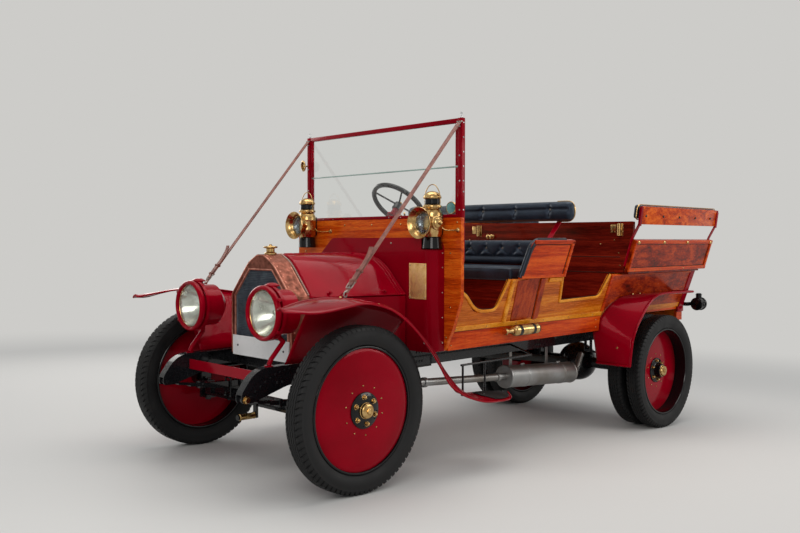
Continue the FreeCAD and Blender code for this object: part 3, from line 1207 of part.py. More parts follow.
def front_guards():
    inner, outer = d.front_guard_inner, d.front_guard_outer
    blade = guard_blade(FRONT_GUARD, inner, outer)
    leaf = prism([
        (306, inner - 1, 150), (447, inner + 52, 46), (447, inner + 110, 60), (286, outer + 1, 220),
        (-1000, outer + 1, 150), (-1161, outer - 90, 60), (-1161, inner + 90, 60), (-1000, inner - 1, 150),
    ], top_view(200), Vector(0, 0, 900))
    blade = blade.common(leaf)

    rail_y = d.rail_inner + d.rail_width
    edge = [(x, z) for x, z, _, _ in FRONT_GUARD[2:8]]
    top = [(x, z + 2) for x, z in edge] + [(x, z - 2) for x, z in edge[::-1]]
    upper = [Vector(x, inner + 3, z) for x, z in top]
    foot = [(x, d.rail_top + 4) for x, _ in edge] + [(x, d.rail_top) for x, _ in edge[::-1]]
    lower = [Vector(x, rail_y - 4, z) for x, z in foot]
    valance = Part.makeLoft([Part.makePolygon(wire + wire[:1]) for wire in (upper, lower)], True, True)

    hanger_y = inner + 12
    stay_z = 522
    pieces = [valance]
    for x, low in zip(HANGER_X, (358, 346)):
        pieces.append(bar([Vector(x, hanger_y, low), Vector(x, hanger_y, stay_z)], d.stay_radius))
    rail_spot = Vector(-1600, rail_y + 2.1, 560)
    pieces.append(bar([Vector(HANGER_X[0], hanger_y, stay_z), Vector(-1540, hanger_y, stay_z), rail_spot],
                      d.stay_radius))
    node(feature("front_guard_shapes", *pair(blade.fuse(pieces).removeSplitter())), "front_guards")


def rear_guards():
    blade = guard_blade(REAR_GUARD, d.rear_guard_inner, d.rear_guard_outer)
    gap = 0.3
    side = d.side_base_y + gap
    body_side = prism([
        (0, d.sill_base - 4, 0), (side, d.sill_base - 4, 0), (side, d.sill_top, 0),
        (side + d.side_flare, d.side_top, 0), (0, d.side_top, 0),
    ], front_view(-3600), Vector(1400, 0, 0))
    node(feature("rear_guard_shapes", *pair(blade.cut(body_side))), "rear_guards")


MANIFOLD = Vector(-420, 250, 470)
SILENCER_FRONT = -1470
SILENCER_Z = 372
SILENCER_RUN = Vector(-720, 0, -48)
STRAP_WIDTH = 24
STRAP_SHEET = 6


def exhaust():
    axis = SILENCER_RUN
    start = Vector(SILENCER_FRONT, d.exhaust_y, SILENCER_Z)
    pipe = bar([MANIFOLD, Vector(-700, d.exhaust_y, 424), start - Vector(10, 0, 0)], d.pipe_radius)
    silencer = Part.makeCylinder(d.silencer_radius, axis.Length, start, axis)
    tail_end = Vector(-2420, d.exhaust_y - 60, 420)
    tail = bar([start + axis * 0.99, Vector(-2300, d.exhaust_y - 20, 330), tail_end], d.pipe_radius)
    pieces = [pipe, silencer, tail]
    for share in (0.25, 0.8):
        spot = start + axis * share
        corner = Vector(spot.x, d.rail_inner + 20, spot.z)
        hang = d.rail_top - d.rail_depth - spot.z
        pieces.append(Part.makeBox(STRAP_WIDTH, STRAP_SHEET, hang, corner))
        pieces.append(Part.makeBox(STRAP_WIDTH, d.exhaust_y - corner.y, STRAP_SHEET, corner))
    node(feature("exhaust_shape", pieces[0].fuse(pieces[1:]).removeSplitter()), "exhaust")


FLASK_Z = 690
CLIP = 30


def fire_extinguisher():
    """Flask with its neck and cap, on two clips screwed to the sill."""
    centre_y = d.side_base_y + d.extinguisher_radius + 14
    forward = [(d.extinguisher_radius, 240, -1310), (12, 80, -1235), (22, 14, -1222)]
    pieces = [Part.makeCylinder(radius, length, Vector(x, centre_y, FLASK_Z), Vector(-1, 0, 0))
              for radius, length, x in forward]
    for x in (-1500, -1370):
        corner = Vector(x, d.side_base_y, FLASK_Z - CLIP / 2)
        pieces.append(Part.makeBox(CLIP, centre_y - d.side_base_y, CLIP, corner))
    flask = pieces[0].fuse(pieces[1:])
    node(feature("extinguisher_shape", flask.removeSplitter()), "fire_extinguisher")


TAIL_LAMP = Vector(-3570, 690, 735)
TAIL_STAY = 6


def tail_lamp():
    """Drum with a chimney, on a flat stay bent round the body's rear corner."""
    lamp = Part.makeCylinder(52, 84, TAIL_LAMP, Vector(-1, 0, 0))
    stem = Part.makeCylinder(26, 40, TAIL_LAMP + Vector(-40, 0, 45))
    stay_z = TAIL_LAMP.z - CLIP / 2
    stay = Part.makeBox(70, TAIL_STAY, CLIP, Vector(-3572, 640, stay_z)).fuse(
        Part.makeBox(TAIL_STAY, 46, CLIP, Vector(d.body_rear - TAIL_STAY - 0.3, 600, stay_z)))
    node(feature("tail_lamp_shape", lamp.fuse([stem, stay]).removeSplitter()), "tail_lamp")


# ---------------------------------------------------------------- assembly
def build():
    chassis_frame()
    front_apron()
    leaf_springs()
    front_axle()
    rear_axle()
    engine_and_transmission()
    wheels()
    knuckle("left", "")
    knuckle("right", "-")
    tie_rod()
    steering()
    starting_handle()
    radiator()
    bonnet()
    scuttle()
    dash_board()
    windscreen()
    screen_straps()
    lamps()
    body_sides()
    floor()
    seat_boxes()
    arm_panels()
    leather()
    rear_boards()
    seat_irons()
    front_guards()
    rear_guards()
    exhaust()
    fire_extinguisher()
    tail_lamp()


def centre_on_footprint():
    """Put the origin in the middle of the car's length."""
    doc.recompute()
    boxes = [part.Shape.BoundBox for part in nodes]
    middle = (min(item.XMin for item in boxes) + max(item.XMax for item in boxes)) / 2
    sheet.set(sheet.getCellFromAlias("origin_x"), str(round(-middle, 3)))
    doc.recompute()


def check_and_export():
    broken = [item.Name for item in doc.Objects if "Invalid" in item.State or "Error" in item.State]
    broken += [part.Label for part in nodes if part.Shape.isNull() or not part.Shape.isValid()]
    if broken:
        raise RuntimeError("not built: " + ", ".join(broken))
    os.makedirs("parts", exist_ok=True)
    for part in nodes:
        part.Shape.exportStep(f"parts/{part.Label}.step")


build()
centre_on_footprint()
check_and_export()
print(len(nodes), "nodes, front axle at x =", sheet.get("origin_x"))
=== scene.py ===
from math import cos, exp, hypot, pi, radians, sin

import bmesh
import bpy
from mathutils import Matrix, Vector
from mathutils.bvhtree import BVHTree


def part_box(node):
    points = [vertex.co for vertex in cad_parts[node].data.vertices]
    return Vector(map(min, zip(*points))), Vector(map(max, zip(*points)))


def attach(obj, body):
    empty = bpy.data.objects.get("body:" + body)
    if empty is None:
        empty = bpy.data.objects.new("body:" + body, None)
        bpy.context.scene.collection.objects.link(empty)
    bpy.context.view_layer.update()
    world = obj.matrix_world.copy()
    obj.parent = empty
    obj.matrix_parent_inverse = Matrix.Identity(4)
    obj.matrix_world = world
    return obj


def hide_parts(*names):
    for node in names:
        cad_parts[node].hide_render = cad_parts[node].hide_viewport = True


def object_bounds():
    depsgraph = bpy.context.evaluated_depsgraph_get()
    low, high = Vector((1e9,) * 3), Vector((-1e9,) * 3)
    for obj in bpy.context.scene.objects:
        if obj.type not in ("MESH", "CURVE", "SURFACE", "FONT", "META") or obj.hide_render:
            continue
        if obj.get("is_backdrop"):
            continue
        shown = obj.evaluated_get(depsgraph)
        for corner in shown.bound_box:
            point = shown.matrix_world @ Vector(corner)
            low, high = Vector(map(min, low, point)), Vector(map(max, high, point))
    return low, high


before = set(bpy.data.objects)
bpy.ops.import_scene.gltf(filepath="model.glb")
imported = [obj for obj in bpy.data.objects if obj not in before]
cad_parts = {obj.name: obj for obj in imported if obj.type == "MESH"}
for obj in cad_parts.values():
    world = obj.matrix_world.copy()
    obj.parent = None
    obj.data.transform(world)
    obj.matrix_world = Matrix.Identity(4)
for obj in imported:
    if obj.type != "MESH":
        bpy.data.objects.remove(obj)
cad_low, cad_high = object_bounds()
scene = bpy.context.scene


# ---- studio ----------------------------------------------------------------------------
# A pale seamless floor and three big soft boxes, as a car is lit for a sale catalogue.
# The floor is matt painted board, and its colour carries on into the empty distance.
def linear(hex_colour):
    """An sRGB hex colour as the linear colour a shader takes."""
    parts = [int(hex_colour[i:i + 2], 16) / 255 for i in (1, 3, 5)]
    return [p / 12.92 if p <= 0.04045 else ((p + 0.055) / 1.055) ** 2.4 for p in parts] + [1.0]


def feed(tree, node, inputs):
    """Gives a node's inputs their values, or links: a node stands for its first output."""
    for name, value in inputs.items():
        if isinstance(value, bpy.types.Node):
            value = value.outputs[0]
        if isinstance(value, bpy.types.NodeSocket):
            tree.links.new(value, node.inputs[name])
        else:
            node.inputs[name].default_value = value


def add_node(tree, kind, inputs=None, stops=(), **settings):
    """Adds a shader node: settings are its own properties, inputs its values or links."""
    node = tree.nodes.new("ShaderNode" + kind)
    for name, value in settings.items():
        setattr(node, name, value)
    for count, (at, hex_colour) in enumerate(stops):
        mark = node.color_ramp.elements[count] if count < 2 else node.color_ramp.elements.new(at)
        mark.position = at
        mark.color = linear(hex_colour)
    feed(tree, node, inputs or {})
    return node


floor_colour = "#CDCCC9"
board = bpy.data.materials.new("matt_painted_floor")
board.use_nodes = True
tree = board.node_tree
speckle = add_node(tree, "TexNoise", {"Scale": 3.0, "Detail": 5.0})
shade = add_node(tree, "ValToRGB", {"Fac": speckle}, stops=((0.0, "#C8C7C4"), (1.0, "#D2D1CE")))
paint = tree.nodes["Principled BSDF"]
feed(tree, paint, {"Base Color": shade, "Roughness": 0.8})
# the board fades into the empty distance from 3 to 9 m away from the car
spot = add_node(tree, "NewGeometry")
away = add_node(tree, "VectorMath", {0: spot}, operation="LENGTH")
fade = add_node(tree, "MapRange", {"Value": away.outputs["Value"], "From Min": 3.0,
                                   "From Max": 9.0}, interpolation_type="SMOOTHSTEP")
haze = add_node(tree, "Emission", {"Color": linear(floor_colour), "Strength": 1.0})
blend = add_node(tree, "MixShader", {0: fade, 1: paint, 2: haze})
feed(tree, tree.nodes["Material Output"], {"Surface": blend})
reach, sunk = 40, -0.001
floor_mesh = bpy.data.meshes.new("studio_floor")
floor_mesh.from_pydata([(-reach, -reach, sunk), (reach, -reach, sunk), (reach, reach, sunk),
                        (-reach, reach, sunk)], [], [(0, 1, 2, 3)])
floor_mesh.materials.append(board)
studio_floor = bpy.data.objects.new("studio_floor", floor_mesh)
scene.collection.objects.link(studio_floor)
studio_floor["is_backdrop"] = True

sky = bpy.data.worlds.new("studio_air")
scene.world = sky
sky.use_nodes = True
tree = sky.node_tree
path = add_node(tree, "LightPath")
eye = add_node(tree, "Math", {0: path.outputs["Is Camera Ray"],
                              1: path.outputs["Is Transmission Ray"]}, operation="ADD")
eye = add_node(tree, "Math", {0: eye, 1: path.outputs["Is Glossy Ray"]}, operation="ADD",
               use_clamp=True)
seen = add_node(tree, "Background", {"Color": linear(floor_colour), "Strength": 1.0})
fill = tree.nodes["Background"]
feed(tree, fill, {"Color": linear("#E8ECF2"), "Strength": 0.5})
either = add_node(tree, "MixShader", {0: eye, 1: fill, 2: seen})
feed(tree, tree.nodes["World Output"], {"Surface": either})

middle = (cad_low + cad_high) / 2
for label, place, wide, tall, watts in (("over_box", (0.2, 0.3, 5.2), 5.5, 3.2, 170),
                                        ("front_box", (5.0, 3.4, 2.8), 2.2, 2.4, 85),
                                        ("side_box", (-2.8, 5.0, 2.8), 3.6, 1.8, 85),
                                        ("far_box", (0.5, -5.4, 2.6), 4.2, 2.0, 70)):
    lamp = bpy.data.lights.new(label, "AREA")
    lamp.shape = "RECTANGLE"
    lamp.size = wide
    lamp.size_y = tall
    lamp.energy = watts
    lamp.color = (1.0, 0.975, 0.94)
    box = bpy.data.objects.new(label, lamp)
    box.location = place
    box.rotation_euler = (middle - box.location).to_track_quat("-Z", "Y").to_euler()
    scene.collection.objects.link(box)
scene.view_settings.view_transform = "Standard"

# ---- camera ----------------------------------------------------------------------------
# It looks back over the left front wheel from about the height of the headlamps' tops.
# Its place is measured from the middle of the front axle, on the ground.
front_low, front_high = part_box("left_front_tyre")
axle_x = (front_low.x + front_high.x) / 2
axle_z = (front_low.z + front_high.z) / 2
view = bpy.data.cameras.new("view")
view.sensor_width = 36.0
view.lens = 38.0
camera = bpy.data.objects.new("view", view)
scene.collection.objects.link(camera)
yaw, pitch, roll = 3.934384, 0.000349, 0.0324146
ahead = Vector((cos(yaw) * cos(pitch), sin(yaw) * cos(pitch), sin(pitch)))
right = Vector((sin(yaw), -cos(yaw), 0))
up = right.cross(ahead)
right, up = right * cos(roll) + up * sin(roll), up * cos(roll) - right * sin(roll)
camera.matrix_world = Matrix((right, up, -ahead)).transposed().to_4x4()
camera.location = (axle_x + 2.7555, 3.7704, 1.1085)
scene.camera = camera


# ---- chassis ---------------------------------------------------------------------------
# A pressed channel frame with dumb irons, leaf springs and forged axles, all of mild steel.
# It is brushed with black coach enamel, and rows of driven rivets hold its brackets.
lean = radians(2.53)
rake = (Matrix.Translation((axle_x, 0, axle_z)) @ Matrix.Rotation(lean, 4, "Y")
        @ Matrix.Translation((0, 0, -axle_z)))


def body_box(node):
    """A CAD node's lowest and highest corners along the car body's own leaning directions."""
    flat = rake.inverted()
    spots = [flat @ v.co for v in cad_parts[node].data.vertices]
    return Vector(map(min, zip(*spots))), Vector(map(max, zip(*spots)))


def make_piece(name, shape, finish, body="car", raked=True, crease=38):
    """One finished piece from a drawn shape; raked pieces are drawn along the body's lean."""
    bmesh.ops.recalc_face_normals(shape, faces=shape.faces)
    mesh = bpy.data.meshes.new(name)
    shape.to_mesh(mesh)
    shape.free()
    mesh.shade_smooth()
    mesh.set_sharp_from_angle(angle=radians(crease))
    mesh.materials.append(finish)
    if raked:
        mesh.transform(rake)
    piece = bpy.data.objects.new(name, mesh)
    scene.collection.objects.link(piece)
    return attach(piece, body)


def mm(*pairs):
    """Pairs of sizes in millimetres as metres, for turned work."""
    return [(a / 1000, b / 1000) for a, b in pairs]


def turned(shape, profile, centre, axis, steps):
    """Adds a lathe-turned form: profile gives (radius, distance along the axis) in order."""
    spin = Vector(axis).normalized().to_track_quat("Z", "Y")
    rings = []
    for radius, along in profile:
        count = steps if radius > 1e-6 else 1
        rings.append([shape.verts.new(Vector(centre) + spin @ Vector((
            radius * cos(2 * pi * k / steps), radius * sin(2 * pi * k / steps), along)))
            for k in range(count)])
    for near, far in zip(rings, rings[1:]):
        for k in range(steps):
            corners = [near[k % len(near)], near[(k + 1) % len(near)],
                       far[(k + 1) % len(far)], far[k % len(far)]]
            corners = list(dict.fromkeys(corners))
            if len(corners) > 2:
                shape.faces.new(corners)


def sew(shape, rings, closed=True, capped=False):
    """Joins rows of corner points with faces; closed rows are rings, and caps close the ends."""
    for near, far in zip(rings, rings[1:]):
        for k in range(len(near) - (not closed)):
            m = (k + 1) % len(near)
            shape.faces.new((near[k], near[m], far[m], far[k]))
    if capped:
        shape.faces.new(rings[0])
        shape.faces.new(rings[-1][::-1])


def headings(path):
    """The way that a path runs at each of its points."""
    return [(b - a).normalized() for a, b in zip(path[:1] + path, path[1:] + path[-1:])]


def rod(shape, path, radius, sides):
    """Adds a round bar or wire along a path; a list of radii makes its thickness change."""
    path = [Vector(p) for p in path]
    radii = radius if isinstance(radius, (list, tuple)) else [radius] * len(path)
    lead = Vector((0, 0, 1)) if abs((path[1] - path[0]).normalized().z) < 0.9 else Vector((0, 1, 0))
    rings = []
    for spot, run, thick in zip(path, headings(path), radii):
        lead = (lead - run * lead.dot(run)).normalized()
        side = run.cross(lead)
        rings.append([shape.verts.new(spot + lead * thick * cos(2 * pi * s / sides)
                                      + side * thick * sin(2 * pi * s / sides))
                      for s in range(sides)])
    sew(shape, rings)
    shape.faces.new(rings[0][::-1])
    shape.faces.new(rings[-1])


def fair(points, steps):
    """A smooth run of points through the given ones."""
    ends = [Vector(p) for p in points]
    ends = [2 * ends[0] - ends[1]] + ends + [2 * ends[-1] - ends[-2]]
    path = []
    for a, b, c, e in zip(ends, ends[1:], ends[2:], ends[3:]):
        for k in range(steps):
            t = k / steps
            path.append(0.5 * (2 * b + (c - a) * t + (2 * a - 5 * b + 4 * c - e) * t * t
                               + (3 * b - a - 3 * c + e) * t ** 3))
    return path + [ends[-2]]


def rivets(shape, places, towards, radius, steps=10):
    """Adds round rivet or screw heads that stand on a surface."""
    for place in places:
        turned(shape, [(radius, -0.002), (radius, radius * 0.25), (radius * 0.72, radius * 0.62),
                       (0, radius * 0.78)], place, towards, steps)


def slab(shape, low, high, round_off=0.003):
    """Adds a block between two corners with its edges rounded off."""
    low, high = Vector(low), Vector(high)
    made = bmesh.ops.create_cube(shape, size=1.0)["verts"]
    for corner in made:
        corner.co = Vector([(l + h) / 2 + c * (h - l) for l, h, c in zip(low, high, corner.co)])
    edges = dict.fromkeys(edge for corner in made for edge in corner.link_edges)
    bmesh.ops.bevel(shape, geom=list(edges), offset=round_off, segments=2, profile=0.5,
                    affect="EDGES")


def new_finish(name):
    """A new material, with its node tree, its shader and the place on the piece."""
    finish = bpy.data.materials.new(name)
    finish.use_nodes = True
    tree = finish.node_tree
    place = add_node(tree, "TexCoord").outputs["Object"]
    return finish, tree, tree.nodes["Principled BSDF"], place


def coach_enamel(name, deep, light, dull, coat, soften=0.0025, sheen="#FFFFFF"):
    """Flatted and varnished coach enamel: colour drifts over metres, gloss over centimetres."""
    finish, tree, shader, place = new_finish(name)
    drift = add_node(tree, "TexNoise", {"Vector": place, "Scale": 2.4, "Detail": 4.0})
    colour = add_node(tree, "ValToRGB", {"Fac": drift}, stops=((0.3, deep), (0.7, light)))
    # handled patches 20 to 30 mm wide lose some of the gloss
    handled = add_node(tree, "TexNoise", {"Vector": place, "Scale": 38.0, "Detail": 7.0,
                                          "Roughness": 0.62})
    gloss = add_node(tree, "MapRange", {"Value": handled, "From Min": 0.3, "From Max": 0.75,
                                        "To Min": dull * 0.7, "To Max": dull * 1.6})
    # brush and spray ripple of about 1.5 mm
    ripple = add_node(tree, "TexNoise", {"Vector": place, "Scale": 650.0, "Detail": 2.0})
    edge = add_node(tree, "Bevel", {"Radius": soften}, samples=4)
    skin = add_node(tree, "Bump", {"Height": ripple, "Strength": 0.05, "Distance": 0.0006,
                                   "Normal": edge})
    feed(tree, shader, {"Base Color": colour, "Roughness": gloss, "Normal": skin,
                        "Coat Weight": coat, "Coat Roughness": 0.05, "Specular IOR Level": 0.3,
                        "IOR": 1.32, "Specular Tint": linear(sheen)})
    return finish


def give(finish, *nodes):
    """Puts a finish on CAD nodes that are shown as they are."""
    for name in nodes:
        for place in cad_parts[name].material_slots:
            place.material = finish


chassis_black = coach_enamel("black_coach_enamel", "#0B0B0D", "#16171A", 0.26, 0.5)
give(chassis_black, "chassis_frame", "leaf_springs", "front_axle", "rear_axle", "left_knuckle",
     "right_knuckle", "tie_rod")

# Six domed rivets hold each cross member's ends, and a line of them follows each dumb iron.
# They are driven cold and painted with the rails, so only their rims catch the light.
rail_side = body_box("chassis_frame")[1].y - 0.0125
heads = bmesh.new()
for sign in (1, -1):
    face, outward = sign * rail_side, (0, sign, 0)
    for x in (0.02, -0.76, -1.90, -2.50, -3.44):
        spots = [(x + dx, face, z) for dx in (-0.022, 0, 0.022) for z in (0.535, 0.588)]
        rivets(heads, spots, outward, 0.0075)
    dropping = [k / 8 for k in range(9)]
    rivets(heads, [(0.17 + 0.235 * t, face, 0.592 - 0.115 * t ** 1.7) for t in dropping], outward,
           0.0062)
    rivets(heads, [(x, face, 0.53) for x in (0.215, 0.245)], outward, 0.009)
make_piece("frame_rivets", heads, chassis_black)

# U-bolts clamp each spring to its axle pad, and clips further out hold its leaves together.
# They are forged steel bar, bent cold and painted with the frame.
leaf_half, bolt_reach = 0.025, 0.027
clip_rise, clip_drop, clip_lift = 0.021, 0.006, 0.033
clamps = bmesh.new()
for sign in (1, -1):
    spring_y = sign * (body_box("leaf_springs")[1].y - leaf_half)
    for middle, pad, thick in ((0.0, 0.390, 0.035), (-2.976, 0.345, 0.042)):
        for dx in (-0.032, 0.032):
            path = [(middle + dx, spring_y + s * bolt_reach, z) for s, z in
                    ((-1, pad - 0.052), (-1, pad + thick + 0.010), (-0.6, pad + thick + 0.018),
                     (0.6, pad + thick + 0.018), (1, pad + thick + 0.010), (1, pad - 0.052))]
            rod(clamps, path, 0.0055, 8)
            for s in (-1, 1):
                turned(clamps, mm((11.5, 0), (11.5, 10), (0, 10)),
                       (middle + dx, spring_y + s * bolt_reach, pad - 0.046), (0, 0, -1), 6)
        for dx in (-0.22, 0.22):
            low = Vector((middle + dx - 0.011, spring_y - 0.024, pad + clip_rise - clip_drop))
            slab(clamps, low, low + Vector((0.022, 0.048, clip_drop + clip_lift)), 0.002)
make_piece("spring_clamps", clamps, chassis_black)

# Each knuckle turns on a kingpin with a hexagon nut above and another below.
# The nuts are milled from steel bar and painted with the axle.
car_sides = (("left", 1), ("right", -1))
pin_y = 0.628
for side, sign in car_sides:
    low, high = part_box(side + "_knuckle")
    ends = bmesh.new()
    for z, way in ((high.z - 0.004, 1), (low.z + 0.004, -1)):
        turned(ends, mm((19, -4), (19, 4), (16, 7), (0, 7)), (axle_x, sign * pin_y, z),
               (0, 0, way), 6)
    make_piece(side + "_kingpin_nuts", ends, chassis_black, side + "_knuckle", raked=False)

# Brass nuts stand proud on the spring eye bolts at the tips of the dumb irons.
# Cast yellow brass, filed and polished by hand: fine scratches, tarnish in the corners.
def polished_brass(name, bright, tarnished, shine):
    """Cast and hand-polished brass that is a little tarnished in patches of 5 to 40 mm."""
    finish, tree, shader, place = new_finish(name)
    patches = add_node(tree, "TexNoise", {"Vector": place, "Scale": 34.0, "Detail": 6.0,
                                          "Roughness": 0.6})
    colour = add_node(tree, "ValToRGB", {"Fac": patches},
                      stops=((0.32, tarnished), (0.62, bright)))
    # polishing scratches of about 1 mm, drawn coarser than real ones so that they show
    scratches = add_node(tree, "TexNoise", {"Vector": place, "Scale": 420.0, "Detail": 5.0})
    haze = add_node(tree, "MapRange", {"Value": patches, "From Min": 0.3, "From Max": 0.7,
                                       "To Min": shine * 1.9, "To Max": shine})
    edge = add_node(tree, "Bevel", {"Radius": 0.0012}, samples=4)
    skin = add_node(tree, "Bump", {"Height": scratches, "Strength": 0.08, "Distance": 0.0004,
                                   "Normal": edge})
    feed(tree, shader, {"Base Color": colour, "Metallic": 1.0, "Roughness": haze, "Normal": skin})
    return finish


brass = polished_brass("polished_yellow_brass", "#D2B077", "#94713F", 0.16)
nuts = bmesh.new()
for sign in (1, -1):
    spot = Vector((0.430, sign * (rail_side + 0.001), 0.466))
    turned(nuts, mm((20, 0), (20, 3), (16.5, 3)), spot, (0, sign, 0), 24)
    turned(nuts, mm((16.5, 3), (16.5, 14), (14, 17), (0, 17)), spot, (0, sign, 0), 6)
make_piece("spring_eye_nuts", nuts, brass)

# The engine and gearbox are plain castings under the bonnet and floor, in dull grey iron.
# The sand-cast skin is rough at 2 to 3 mm and stained by oil.
cast_iron, tree, shader, place = new_finish("sand_cast_iron")
stain = add_node(tree, "TexNoise", {"Vector": place, "Scale": 7.0, "Detail": 6.0})
colour = add_node(tree, "ValToRGB", {"Fac": stain}, stops=((0.35, "#1B1A19"), (0.65, "#454543")))
sand = add_node(tree, "TexNoise", {"Vector": place, "Scale": 380.0, "Detail": 4.0})
skin = add_node(tree, "Bump", {"Height": sand, "Strength": 0.4, "Distance": 0.001})
feed(tree, shader, {"Base Color": colour, "Metallic": 0.35, "Roughness": 0.62, "Normal": skin})
give(cast_iron, "engine_block", "transmission")

# ---- exhaust ---------------------------------------------------------------------------
# A rolled steel silencer and pipe, sprayed with heat-proof aluminium paint whose greys are darkened
# as painted shade under the car.
# Heat has tinted it straw and brown near the joints, and road dust dulls its underside.
shade_darkened_silencer_paint, tree, shader, place = new_finish("heat_proof_aluminium_paint_darkened_as_shade")
heat = add_node(tree, "TexNoise", {"Vector": place, "Scale": 4.0, "Detail": 5.0})
# the greys are darkened as painted shade; the straw-brown stop is heat tint
colour = add_node(tree, "ValToRGB", {"Fac": heat}, stops=((0.3, "#6F6860"), (0.55, "#949493"),
                                                          (0.8, "#A9AAAB")))
flake = add_node(tree, "TexNoise", {"Vector": place, "Scale": 520.0, "Detail": 3.0})
dull = add_node(tree, "MapRange", {"Value": heat, "To Min": 0.48, "To Max": 0.26})
edge = add_node(tree, "Bevel", {"Radius": 0.004}, samples=4)
skin = add_node(tree, "Bump", {"Height": flake, "Strength": 0.1, "Distance": 0.0005,
                               "Normal": edge})
feed(tree, shader, {"Base Color": colour, "Metallic": 0.9, "Roughness": dull, "Normal": skin})
give(shade_darkened_silencer_paint, "exhaust")

# Folded seams close the silencer's ends, and two bolted bands carry it.
start, run = Vector((-1.470, 0.450, 0.372)), Vector((-0.720, 0, -0.048))
bands = bmesh.new()
for share in (0.012, 0.988):
    spot = start + run * share
    turned(bands, mm((69.5, -7), (73, -5), (73.5, 0), (73, 5), (69.5, 7)), spot, run, 48)
for share in (0.267, 0.817):
    spot = start + run * share
    turned(bands, mm((70, -15), (72.2, -13), (72.2, 13), (70, 15)), spot, run, 48)
    for dx in (-0.006, 0.010):
        turned(bands, mm((8, 0), (8, 9), (0, 9)), spot + Vector((dx, 0.0, 0.071)), (0, 0, 1), 6)
for x in (-0.74, -1.40):
    spot = Vector((x, 0.450, 0.424 + (x + 0.70) * 0.0667))
    turned(bands, mm((22, -12), (29, -10), (29, 10), (22, 12)), spot, (-1, 0, -0.0667), 32)
make_piece("silencer_bands", bands, shade_darkened_silencer_paint)

# ---- wheels ----------------------------------------------------------------------------
# Pressed steel discs riveted to black rims and clamped by a bolted hub flange.
# The discs are stove-enamelled crimson, the hub caps and nuts are polished brass.
crimson = coach_enamel("crimson_coach_enamel", "#74000F", "#930018", 0.13, 0.07, 0.002, "#FF3A50")
rim_black = coach_enamel("black_rim_enamel", "#050506", "#0C0D0F", 0.16, 0.3, soften=0.001)


def around(centre, outward, radius, along, count, start):
    """Places on a circle round an axle."""
    return [centre + Vector((radius * cos(start + 2 * pi * k / count), outward * along,
                             radius * sin(start + 2 * pi * k / count))) for k in range(count)]


def disc_wheel(body, centre, outward, disc, rims, hub, cap, bolt_ring, face):
    """The pieces of one wheel: disc, rims, hub flange, cap, bolts and rivets."""
    axis = Vector((0, outward, 0))
    shape = bmesh.new()
    turned(shape, disc, centre, axis, 128)
    pressed = make_piece(body + "_disc", shape, crimson, body, raked=False, crease=50)
    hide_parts(body)
    shape = bmesh.new()
    for ring in rims:
        turned(shape, ring + ring[:1], centre, axis, 128)
    turned(shape, hub, centre, axis, 64)
    rivets(shape, around(centre, outward, 0.077, face + 0.0085, 12, 0.1), axis, 0.003)
    make_piece(body + "_rims_and_flange", shape, rim_black, body, raked=False)
    shape = bmesh.new()
    turned(shape, cap, centre, axis, 48)
    top = cap[-1][1]
    turned(shape, [(0.0150, top - 0.012), (0.0150, top - 0.002), (0.0125, top), (0, top)],
           centre, axis, 6)
    for spot in around(centre, outward, bolt_ring, face, 6, 0.35):
        turned(shape, mm((13.5, 7.5), (13.5, 9.5), (10.5, 9.5)), spot, axis, 20)
        turned(shape, mm((10.5, 9.5), (10.5, 18.5), (9, 20.5), (5.5, 20.5)), spot, axis, 6)
        turned(shape, mm((5.5, 19.5), (5.5, 24), (3.5, 25.5), (0, 26)), spot, axis, 12)
    rivets(shape, around(centre, outward, 0.121, face + 0.0005, 10, 0.2), axis, 0.0042)
    make_piece(body + "_hub_brass", shape, brass, body, raked=False)


rim_edge = mm((300, 30), (299.6, 38.5), (301.2, 42.5), (305, 44), (309.2, 43.2), (312.1, 40.5),
              (312.1, 30))
front_rim = rim_edge + [(r, -a) for r, a in reversed(rim_edge)]
front_disc = mm((30, 30), (90, 30), (200, 30), (299, 27), (300.5, 29), (300, 32.5), (290, 36.2),
                (270, 38.5), (230, 40.8), (170, 42.5), (100, 43.2), (30, 43.2))
front_hub = mm((51.5, -35), (51.5, 30), (51.5, 42.5), (87, 42.5), (89, 44.5), (88.5, 49), (86, 51),
               (48, 53.5), (36, 55), (0, 55))
front_cap = mm((39.5, 53), (40, 57), (37.5, 58.5), (36.5, 68), (37.2, 70), (35.5, 73.5),
               (30, 76.5), (20, 77.8), (0, 79), (0, 87.5))
rear_disc = mm((50, 22.8), (301.8, 22.8), (301.8, 29), (296, 30), (270, 30.2), (200, 33),
               (100, 35), (50, 35))
barrel = mm((301, -110), (301, 22.5), (301.4, 108), (299.8, 113), (301.5, 117.2), (305.5, 118.5),
            (309.5, 117.8), (312.1, 115), (312.1, -115), (309.5, -117.8), (305.5, -118.5),
            (301.5, -117.2), (299.8, -113))
rear_hub = mm((68, -60), (68, 34), (87, 34), (90, 36.5), (89, 41.5), (86, 43), (58, 45.5),
              (53, 49), (50, 70), (47, 86), (40, 90), (0, 90))
rear_cap = mm((42, 87), (42, 91), (38.5, 92.5), (37.5, 100), (34, 104), (22, 105.5), (0, 106),
              (0, 113))
for side, outward in car_sides:
    low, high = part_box(side + "_front_tyre")
    disc_wheel(side + "_front_wheel", (low + high) / 2, outward, front_disc, [front_rim],
               front_hub, front_cap, 0.0655, 0.0435)
    low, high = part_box(side + "_rear_tyres")
    disc_wheel(side + "_rear_wheel", (low + high) / 2, outward, rear_disc, [barrel],
               rear_hub, rear_cap, 0.0700, 0.0355)

